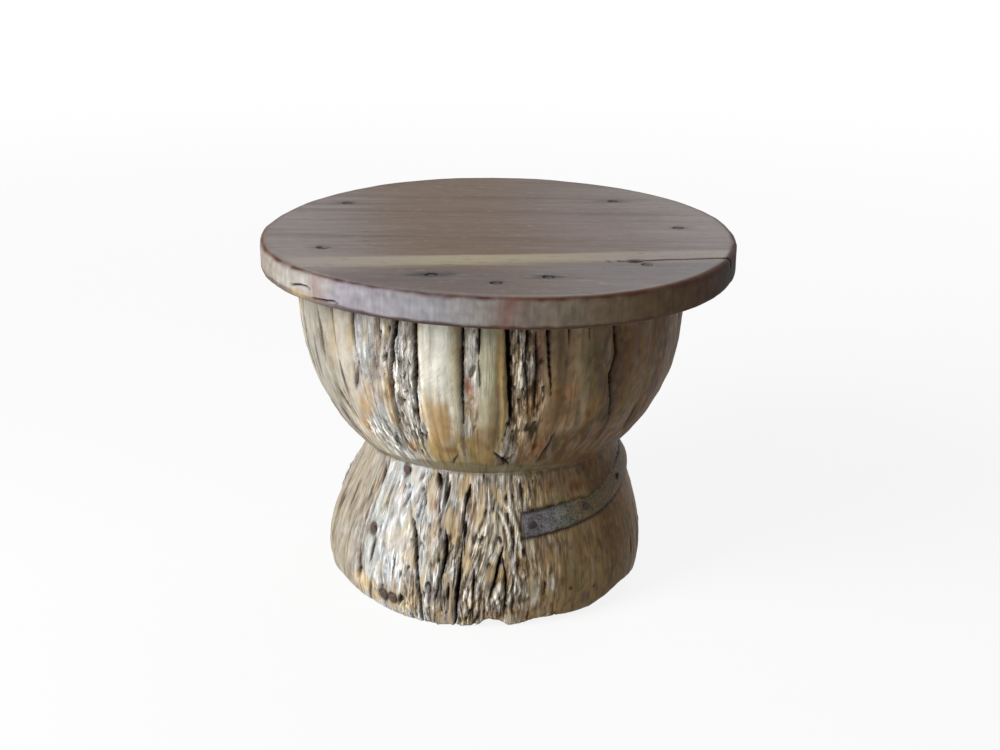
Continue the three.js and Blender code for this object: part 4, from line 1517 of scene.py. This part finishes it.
# %% Colour of the plank
# From about 50 to 120 degrees the side goes nearly black: partly its own dark brown and partly
# painted shade of the side away from the key lamp.
EDGE_CHART = [
    (-180, "66594b"),
    (-150, "6c5f50"),
    (-115, "786c62"),
    (-85, "877d74"),
    (-66, "998f84"),
    (-46, "a9a6a0"),
    (-38, "969097"),
    (-14, "8c8b8e"),
    (-4, "87817d"),
    (3, "776b63"),
    (14, "726759"),
    (30, "6b5944"),
    (50, "523e30"),
    (60, "2c1e15"),
    (74, "1c120c"),
    (92, "2c2019"),
    (122, "4c3b2d"),
    (145, "625344"),
]
NAIL_STAINS = [
    # reach along the grain, reach across it, strength, one for each top nail
    (14, 8, 0.75),
    (11, 6, 0.7),
    (34, 13, 0.9),
    (12, 7, 0.7),
    (19, 9, 0.85),
    (9, 6, 0.55),
    (14, 8, 0.6),
    (30, 9, 0.55),
]
GRAIN_TURN = math.radians(7.5)


def edge_paint(skin):
    """The chart's colours round the side, mottled."""
    points = skin.points
    wander = skin.degrees + 3 * noise(points, (30, 30, 20), 51)
    mottle = 0.24 * noise(points, (11, 11, 9), 52) + 0.12 * noise(points, (5, 5, 26), 53)
    return read_ramp(EDGE_CHART + [(180, EDGE_CHART[0][1])], wander) * (1 + mottle)[..., None]


def face_paint(points):
    """The face's colours. u runs along the grain from -1 to 1 and v across it, and u is moved by a
    noise that is drawn out along the fibres, so that neighbouring fibres mix two colours."""
    x, y = points[..., 0], points[..., 1]
    u = (x * math.cos(GRAIN_TURN) + y * math.sin(GRAIN_TURN)) / PLANK_RADIUS
    v = (y * math.cos(GRAIN_TURN) - x * math.sin(GRAIN_TURN)) / PLANK_RADIUS
    streaks = noise(np.stack([u * 1.2, v * 14, 0 * u], -1), 1, 54)
    u = u + 0.17 * noise(np.stack([u * 1.4, v * 26, 0 * u], -1), 1, 59)
    paint = Paint(np.ones_like(points) * linear("796a62"))
    paint.coat("715b48", smooth(-0.75, -0.3, u) * smooth(0.4, 0.0, u))
    # Greyer towards both ends along the grain: partly the wood's colour and partly painted sheen.
    paint.coat("8c827f", smooth(-0.35, -0.95, u) + smooth(0.35, 0.95, u))
    paint.coat("7c6866", 0.7 * bump(u - 0.35, 0.22) * bump(v - 0.05, 0.35))
    paint.coat("787172", 0.8 * smooth(-0.52, -0.62, v) * smooth(-0.3, 0.3, u))
    paint.coat("625553", 0.8 * smooth(-0.55, -0.66, v) * smooth(0.2, -0.3, u))
    paint.coat("6a473b", 0.5 * bump(u + 0.28, 0.13) * bump(v + 0.26, 0.035))
    return paint.colour * (1 + 0.10 * streaks + 0.05 * noise(points, (60, 40, 40), 55))[..., None]


def paint_arrises(paint, skin):
    """Red-brown along both arrises, a painted highlight as a pale line inside the upper one at the
    front, and marks on the side.
    """
    degrees, inset, level, over = skin.degrees, skin.inset, skin.level, skin.over
    ragged = noise(skin.points, (16, 16, 9), 56)
    high = bump(inset - (TOP - level) - 1.2 + 1.4 * ragged, 4.8)
    high = high * (inset < ARRIS + 6) * (level > TOP - ARRIS - 3)
    left = smooth(-26, -40, degrees)
    low = smooth(PLANK_FLOOR + 6.5, PLANK_FLOOR + 3.5, level + 2 * ragged - 3.5 * left)
    paint.coat("4b2c23", high * (0.9 + 0.4 * ragged))
    paint.coat("452a20", (0.85 - 0.2 * left) * low * (1 - over))
    # The pale line inside the upper arris at the front is a painted highlight.
    front = smooth(-30, 0, degrees) * smooth(60, 30, degrees)
    paint.coat("95876f", 0.5 * bump(inset - 10.5 + ragged, 2.4) * front * over)
    chip = bump(degrees + 50, 3.5) * smooth(428, 424, level) * (1 - over)
    paint.coat("b09a70", 0.6 * chip)
    paint.coat("8d7064", 0.5 * bump(degrees + 44, 2.6) * (1 - over) * (1 - high))
    red_run = bump(degrees - 1.0 - 0.05 * (level - 425), 2.0) * (inset < ARRIS)
    paint.coat("6f4438", 0.55 * red_run * (0.8 + 0.6 * ragged))


def plank_colour(skin, on_edge):
    """The painted colour, and marks from 0 to 1 where the pale band doesn't show."""
    points, level, over = skin.points, skin.level, skin.over
    paint = Paint(face_paint(points))
    paint.coat(edge_paint(skin), on_edge)
    paint_arrises(paint, skin)

    marks = np.zeros_like(level)
    for place, (long, wide, strength) in zip(NAIL_PLACES, NAIL_STAINS):
        away = points[..., :2] - place[:2]
        grain = away @ np.array([math.cos(GRAIN_TURN), math.sin(GRAIN_TURN)])
        across = away @ np.array([-math.sin(GRAIN_TURN), math.cos(GRAIN_TURN)])
        off = np.hypot(grain / long, across / wide) + 0.25 * noise(points, 9, 57)
        paint.coat("5f5552", over * 0.5 * strength * smooth(2.4, 0.9, off))
        stain = over * strength * smooth(1.2, 0.5, off)
        paint.coat("2b2926", stain)
        marks = np.maximum(marks, stain)
    knot = over * smooth(1.15, 0.6, skin.knot)
    paint.coat("332a28", 0.9 * knot)
    paint.coat("6c5f5c", 0.5 * smooth(2.6, 1.0, skin.knot) * over * (1 - knot))
    # Painted shade: darker along the split, wider than its cut.
    split_shade = bump(skin.side, 3.4) * smooth(1.05, 0.9, skin.along) * (level > TOP - SPLIT_REACH)
    paint.coat("3b322f", 0.8 * split_shade)
    # Painted shade: the split and the edge cracks nearly black inside.
    paint.coat("120d0a", skin.cut)
    paint.coat("5a4a3c", (level < PLANK_FLOOR + 1).astype(float))
    return paint.colour, np.maximum.reduce([marks, knot, split_shade, skin.cut])


print(len(NAIL_STAINS), "nail stains on the plank")

# %% [markdown]
# The finish of the plank adds the grain. On the face the fibres run nearly along X, so the noise is
# turned by the grain's angle and drawn out that way. A pale band of sapwood crosses the face, sharp
# on its far side and soft on its near side. On the edge the same plank shows upright tool marks.

# %% Waxed plank


def waxed_plank():
    """Grain, pores, flecks and a pale band on the face, and tool marks and patches on the side."""
    plank = Finish("waxed_plank", specular_ior_level=0.09)
    edge = plank.attribute("edge")
    tint = plank.attribute("tint", out="Vector")
    grain = plank.cloud((5, 130, 5), -GRAIN_TURN, detail=6, coarse=0.6, bend=0.15)
    fine = plank.cloud((16, 620, 16), -GRAIN_TURN, detail=4, coarse=0.55)
    broad = plank.cloud((1.6, 26, 4), -GRAIN_TURN, detail=3, coarse=0.5)
    pores = plank.cloud((90, 1500, 90), -GRAIN_TURN, detail=2, coarse=0.5).between(0.62, 0.74)
    flecks = plank.cloud((55, 190, 55), -GRAIN_TURN, detail=3, coarse=0.5)
    scuffs = plank.cloud((34, 60, 34), 0.4, detail=5, coarse=0.65)
    patches = plank.cloud((95, 95, 70), detail=5, coarse=0.68)
    marks = plank.attribute("marks")
    upright = plank.cloud((260, 260, 26), detail=4, coarse=0.6)
    split = {0: plank.place((1, 1, 1), -GRAIN_TURN)}
    along, across = (plank.node("ShaderNodeSeparateXYZ", {}, split, out=axis) for axis in (0, 1))
    across = across + (broad - 0.5) * 0.03 + (grain - 0.5) * 0.012
    middle = 1 - abs(along + 0.03).between(0.03, 0.24)
    past_band = across.between(-0.125, -0.115)
    band = across.between(-0.174, -0.148) * (1 - past_band) * (middle * 0.3 + 0.54)
    face = plank.shade(tint, grain.between(0.25, 0.75) * 0.22 + fine * 0.16 + broad * 0.14 + 0.56)
    face = plank.mix(broad.between(0.52, 0.64) * 0.3, face, "8c7259", blend="MULTIPLY")
    face = plank.mix(band * (1 - edge) * (1 - marks), face, plank.mix(middle, "9f948c", "a1957c"))
    face = plank.mix(pores * 0.3, face, "4d433b")
    face = plank.mix(flecks.between(0.62, 0.7) * 0.45, face, "473d39")
    face = plank.mix((1 - flecks).between(0.62, 0.7) * 0.25, face, "a59c96")
    side = plank.shade(tint, upright.between(0.3, 0.7) * 0.16 + scuffs * 0.3 + patches * 0.7 + 0.42)
    side = plank.mix(patches.between(0.58, 0.7) * 0.3, side, "c9c0b4", blend="SOFT_LIGHT")
    colour = plank.mix(edge, face, side)
    height = grain * 0.5 + fine * 0.25 - pores * 0.3
    height = height * (1 - edge) + (upright * 0.6 + scuffs * 0.5 + patches * 0.9) * edge
    return plank.feed(
        base_color=colour,
        roughness=scuffs * 0.16 + edge * 0.2 + 0.36,
        normal=plank.relief(height, 0.0006, 0.7),
    )


piece("plank_top", plank_mesh(), waxed_plank(), "plank_wood", "table_top")

# %% [markdown]
# ## Nails
#
# Each nail is forged: a slightly domed head with the flats of a few hammer blows, and a square
# shank that tapers to its point. It is a stack of rings again. On the shank the ring is a
# superellipse, |x|^4 + |y|^4 = 1, which is a square with soft corners.

# %% The nails
TOP_NAIL = {"head": 5.5, "thick": 2.4, "shank": 2.6, "tip": 1.2, "length": 78}
LOG_NAIL = {"head": 5.6, "thick": 3.0, "shank": 2.4, "tip": 1.0, "length": 44}
STRAP_NAIL = {"head": 5.0, "thick": 2.2, "shank": 2.2, "tip": 1.0, "length": 34}


def nail_rings(seed, head, thick, shank, tip, length, columns=28):
    """Rings from the tip up. The head's face has its middle at height 0."""
    turn = np.linspace(-math.pi, math.pi, columns, endpoint=False)
    square = (np.cos(turn) ** 4 + np.sin(turn) ** 4) ** -0.25
    shank_rings = [
        (0.4 * tip, -length), (tip, -length + 2), (0.55 * (tip + shank), -0.55 * length),
        (shank, -thick - 2), (shank * 1.05, -thick - 0.2),
    ]
    head_rings = np.array([
        (0.72, -1), (0.95, -0.86), (1, -0.6), (0.98, -0.36), (0.88, -0.17), (0.66, -0.08),
        (0.36, -0.02), (0.12, 0),
    ]) * (head, thick)
    radius, height = np.concatenate([shank_rings, head_rings]).T[..., None]
    is_shank = np.arange(len(radius))[:, None] < len(shank_rings)
    radius = radius * np.where(is_shank, square, 1)
    x, y, z = np.broadcast_arrays(radius * np.sin(turn), -radius * np.cos(turn), height)
    points = np.stack([x, y, z], axis=-1)
    beaten = noise(points + 31 * seed, 4.2, seed)
    swell = 1 + np.where(is_shank, 0, 0.08 * noise(points + 31 * seed, 5.5, seed + 1))
    points[..., :2] *= swell[..., None]
    points[..., 2] -= np.where(is_shank, 0, np.clip(0.45 * beaten + 0.12, 0, 0.5))
    return points


def stood(points, place, facing):
    """Turns rings made about the upright axis to face a direction, and moves them to a place."""
    facing = np.asarray(facing, float)
    helper = (0, 0, 1) if abs(facing[2]) < 0.9 else (0, 1, 0)
    across = np.cross(helper, facing)
    across /= np.linalg.norm(across)
    return points @ np.array([across, np.cross(facing, across), facing]) + place


def in_log(angle, height, proud):
    """The place and the facing of a nail in the log whose head stands this proud of the wood."""
    turn = math.radians(angle)
    place = round_log(turn, log_radius(angle, height) + proud, height)
    return place, (math.sin(turn), -math.cos(turn), 0)


def old_iron(name, plain, rusty, scaly):
    """Iron of a plain colour, with rust in clouds and scale in specks."""
    iron = Finish(name, metallic=0.35)
    rust = iron.cloud((420, 420, 420), detail=6, coarse=0.65)
    scale = iron.cloud((1400, 1400, 1400), detail=4, coarse=0.6)
    colour = iron.mix(rust.between(0.35, 0.62), plain, rusty)
    colour = iron.mix(scale.between(0.52, 0.72) * 0.7, colour, scaly)
    colour = iron.mix((1 - rust).between(0.6, 0.75) * 0.6, colour, "3a4046")
    return iron.feed(
        base_color=colour,
        roughness=rust * 0.3 + 0.5,
        normal=iron.relief(rust * 0.6 + scale * 0.5, 0.0006),
    )


rusty_iron = old_iron("rusty_iron", "2c2523", "66504a", "8d7d76")
stained_iron = old_iron("stained_iron", "23221f", "322c28", "4a4541")


def all_nails():
    """Every nail as its name, its sizes, the middle of its head's face and the way it faces."""
    made = []
    for number, place in enumerate(NAIL_PLACES, start=1):
        made.append((f"top_nail_{number}", TOP_NAIL, place, (0, 0, 1)))
    for name, place in LOG_NAILS.items():
        made.append((name, LOG_NAIL, *in_log(*place, LOG_NAIL_PROUD)))
    proud = STRAP_PROUD + GAP + STRAP_NAIL["thick"]
    for number, share in enumerate(STRAP_NAILS, start=1):
        made.append((f"strap_nail_{number}", STRAP_NAIL, *in_log(*on_strap(share), proud)))
    return made


for seed, (name, sizes, place, facing) in enumerate(all_nails(), start=60):
    rings = stood(nail_rings(seed, **sizes), place, facing)
    finish = rusty_iron if name in LOG_NAILS else stained_iron
    piece("forged_" + name, mesh_of_rings("forged_" + name, rings), finish, "nail_iron", name)

# %% [markdown]
# ## The strap
#
# A flat bar was forged, bent round the foot and let into it. Here a flat, round-cornered section is
# carried along the strap's line: its width lies in the wood's surface, across the line, and its
# thickness points out of the wood. The beating left it uneven, and its edges are thin and painted
# dark: partly rust and partly painted shade along them.

# %% The strap's mesh
STRAP_COLOURS = [
    # share of the way along, colour
    (0.0, "6a666b"), (0.1, "7b777c"), (0.17, "6c6c5e"), (0.24, "6a5839"), (0.4, "5d4828"),
    (1.0, "523f20"),
]
NAIL_ON_STRAP = on_strap(STRAP_NAILS[0])
CORNER = 1.1


def strap_section():
    """Points round the bar's section, across and out: a rounded corner, then a flat side, four
    times. The long sides have eleven points between their corners and the short ones have one."""
    x, y = STRAP_WIDTH / 2 - CORNER, STRAP_THICKNESS / 2 - CORNER
    bend = np.radians(np.linspace(0, 90, 4))
    middles = [(x, y), (-x, y), (-x, -y), (x, -y)]
    arcs = []
    for number, middle in enumerate(middles):
        at = bend + math.radians(90 * number)
        arcs.append(middle + CORNER * np.stack([np.cos(at), np.sin(at)], 1))
    section = []
    for arc, following, between in zip(arcs, arcs[1:] + arcs[:1], (11, 1, 11, 1)):
        steps = (np.arange(1, between + 1) / (between + 1))[:, None]
        section += [arc, arc[-1] + (following[0] - arc[-1]) * steps]
    return np.concatenate(section).T


def strap_mesh(steps=260):
    """Rings round the bar, one at each step along it, closed by a fan at each end."""
    share = np.linspace(0.0015, 0.9985, steps)
    angle, height = (column[:, None] for column in on_strap(share))
    mean_radius = log_radius(angle, height)
    ahead = np.gradient(np.radians(angle[:, 0])) * mean_radius[:, 0]
    climb = np.gradient(height[:, 0])
    run = np.hypot(ahead, climb)
    ahead, climb = (ahead / run)[:, None], (climb / run)[:, None]

    across, out = strap_section()
    taper = 1 - 0.04 * bump(share[:, None], 0.01) - 0.03 * bump(share[:, None] - 1.0, 0.01)
    across = across * taper
    off_middle = np.degrees(-climb * across / mean_radius)
    at_angle, at_height = angle + off_middle, height + ahead * across
    middle = STRAP_PROUD - STRAP_THICKNESS / 2
    to_edge = STRAP_WIDTH / 2 - np.abs(across)
    base = log_radius(at_angle, at_height) + middle
    points = round_log(np.radians(at_angle), base + out, at_height)
    outer = out > 0
    beaten = 0.45 * noise(points, 9, 81) + 0.3 * noise(points, 4, 82)
    pits = 0.8 * smooth(0.25, 0.5, noise(points, 5, 83))
    thin = 0.5 * smooth(2.5, 0, to_edge) * outer
    out = out + np.where(outer, 0.5 * beaten - pits * 0.5 - thin, 0)
    wavy = across * (1 + 0.015 * noise(points, 14, 84))
    turn = np.radians(angle - np.degrees(climb * wavy / mean_radius))
    points = round_log(turn, base + out, height + ahead * wavy)

    tint = read_ramp(STRAP_COLOURS, share)[:, None]
    paint = Paint(tint * (1 + 0.3 * noise(points, (13, 13, 9), 85))[..., None])
    # Darker along the edges: partly rust and partly painted shade.
    paint.coat("1c1712", 0.8 * smooth(2.2, 0.4, to_edge))
    nail = round_log(np.radians(NAIL_ON_STRAP[0]), 200, NAIL_ON_STRAP[1])
    off = np.linalg.norm((points - nail)[..., [0, 2]], axis=-1)
    paint.coat("1f1b1a", 0.6 * bump(off - 6.2, 1.3) + 0.45 * bump(off - 10, 0.9))
    return mesh_of_rings("forged_strap", points[:, ::-1], tint=paint.colour[:, ::-1])


def patinated_iron():
    """Worn patches and green-grey ones over the painted colour, with scale and grit."""
    iron = Finish("patinated_iron", metallic=0.1, specular_ior_level=0.3)
    patches = iron.cloud((55, 55, 90), detail=5, coarse=0.6)
    scale = iron.cloud((330, 330, 330), detail=6, coarse=0.65)
    grit = iron.cloud((1500, 1500, 1500), detail=3, coarse=0.55)
    tint = iron.attribute("tint", out="Vector")
    colour = iron.shade(tint, patches.between(0.35, 0.65) * 0.4 + 0.8)
    colour = iron.mix((1 - patches).between(0.54, 0.64) * 0.35, colour, "46584e")
    colour = iron.mix(scale.between(0.44, 0.62) * 0.75, colour, "2a211b")
    colour = iron.mix(grit.between(0.55, 0.72) * 0.4, colour, "7d7872")
    return iron.feed(
        base_color=colour,
        roughness=scale * 0.3 + 0.42,
        normal=iron.relief(patches * 1.2 + scale * 0.8 + grit * 0.35, 0.0011),
    )


piece("forged_strap", strap_mesh(), patinated_iron(), "strap_iron", "iron_strap")

# %% [markdown]
# ## Floor, world and lamps
#
# The photograph is cut out on white. Here the floor is a pale plane that keeps the object's shadow:
# for camera rays it is mixed with plain white light, so that it reads as white without more light
# on the object. The key lamp stands at the left, as in the photograph, where the right side falls
# into shade. A weak lamp behind keeps the back readable.

# %% The stage
FLOOR_REACH = 25.0
FLOOR_GREY = (0.86, 0.86, 0.86, 1)
WHITE = (1, 1, 1, 1)
LAMP_TARGET = Vector((0, 0, 0.25))


def pale_floor():
    """A grey floor. Rays that see it directly meet plain white light, mixed near the object with
    13% of the lit grey, which keeps the shadow."""
    half = FLOOR_REACH
    corners = [(-half, -half, 0), (half, -half, 0), (half, half, 0), (-half, half, 0)]
    mesh = bpy.data.meshes.new("floor")
    mesh.from_pydata(corners, [], [(0, 1, 2, 3)])
    floor = bpy.data.objects.new("floor", mesh)
    bpy.context.scene.collection.objects.link(floor)
    paint = Finish("pale_floor", base_color=FLOOR_GREY, roughness=0.9, specular_ior_level=0.1)
    white = paint.node("ShaderNodeEmission", {}, {"Color": WHITE, "Strength": 1.0})
    lit = Signal(paint, paint.shader.outputs[0])
    point = paint.place((1, 1, 1))
    away = paint.node("ShaderNodeVectorMath", {"operation": "LENGTH"}, {0: point}, out=1)
    share = paint.seen_directly() * (away.between(0.6, 4.0) * 0.13 + 0.87)
    both = paint.node("ShaderNodeMixShader", {}, {0: share, 1: lit, 2: white})
    paint.tree.links.new(both.socket, paint.tree.nodes["Material Output"].inputs["Surface"])
    mesh.materials.append(paint.owner)


def pale_world(fill):
    """White for the camera and for mirrors and glass, and a soft fill for everything else."""
    world = bpy.data.worlds.new("studio")
    bpy.context.scene.world = world
    web = Web(world)
    strength = {"Value": web.seen_directly(), "To Min": fill}
    strength = web.node("ShaderNodeMapRange", {}, strength)
    background = web.tree.nodes["Background"]
    background.inputs["Color"].default_value = WHITE
    web.tree.links.new(strength.socket, background.inputs["Strength"])


def soft_lamp(name, azimuth, elevation, distance, size, power):
    """A square lamp that faces the object. Azimuth 0 is at the camera, and 90 to its right."""
    data = bpy.data.lights.new(name, "AREA")
    data.shape = "SQUARE"
    data.size = size
    data.energy = power
    turn, rise = math.radians(azimuth), math.radians(elevation)
    flat = math.cos(rise)
    back = Vector((math.sin(turn) * flat, -math.cos(turn) * flat, math.sin(rise)))
    lamp = bpy.data.objects.new(name, data)
    lamp.location = LAMP_TARGET + back * distance
    lamp.rotation_euler = back.to_track_quat("Z", "Y").to_euler()
    bpy.context.scene.collection.objects.link(lamp)


pale_floor()
pale_world(fill=0.19)
soft_lamp("key", azimuth=-54, elevation=33, distance=3.0, size=1.4, power=92)
soft_lamp("behind", azimuth=150, elevation=38, distance=3.2, size=1.8, power=24)
bpy.context.scene.view_settings.view_transform = "Standard"
print("stage set")
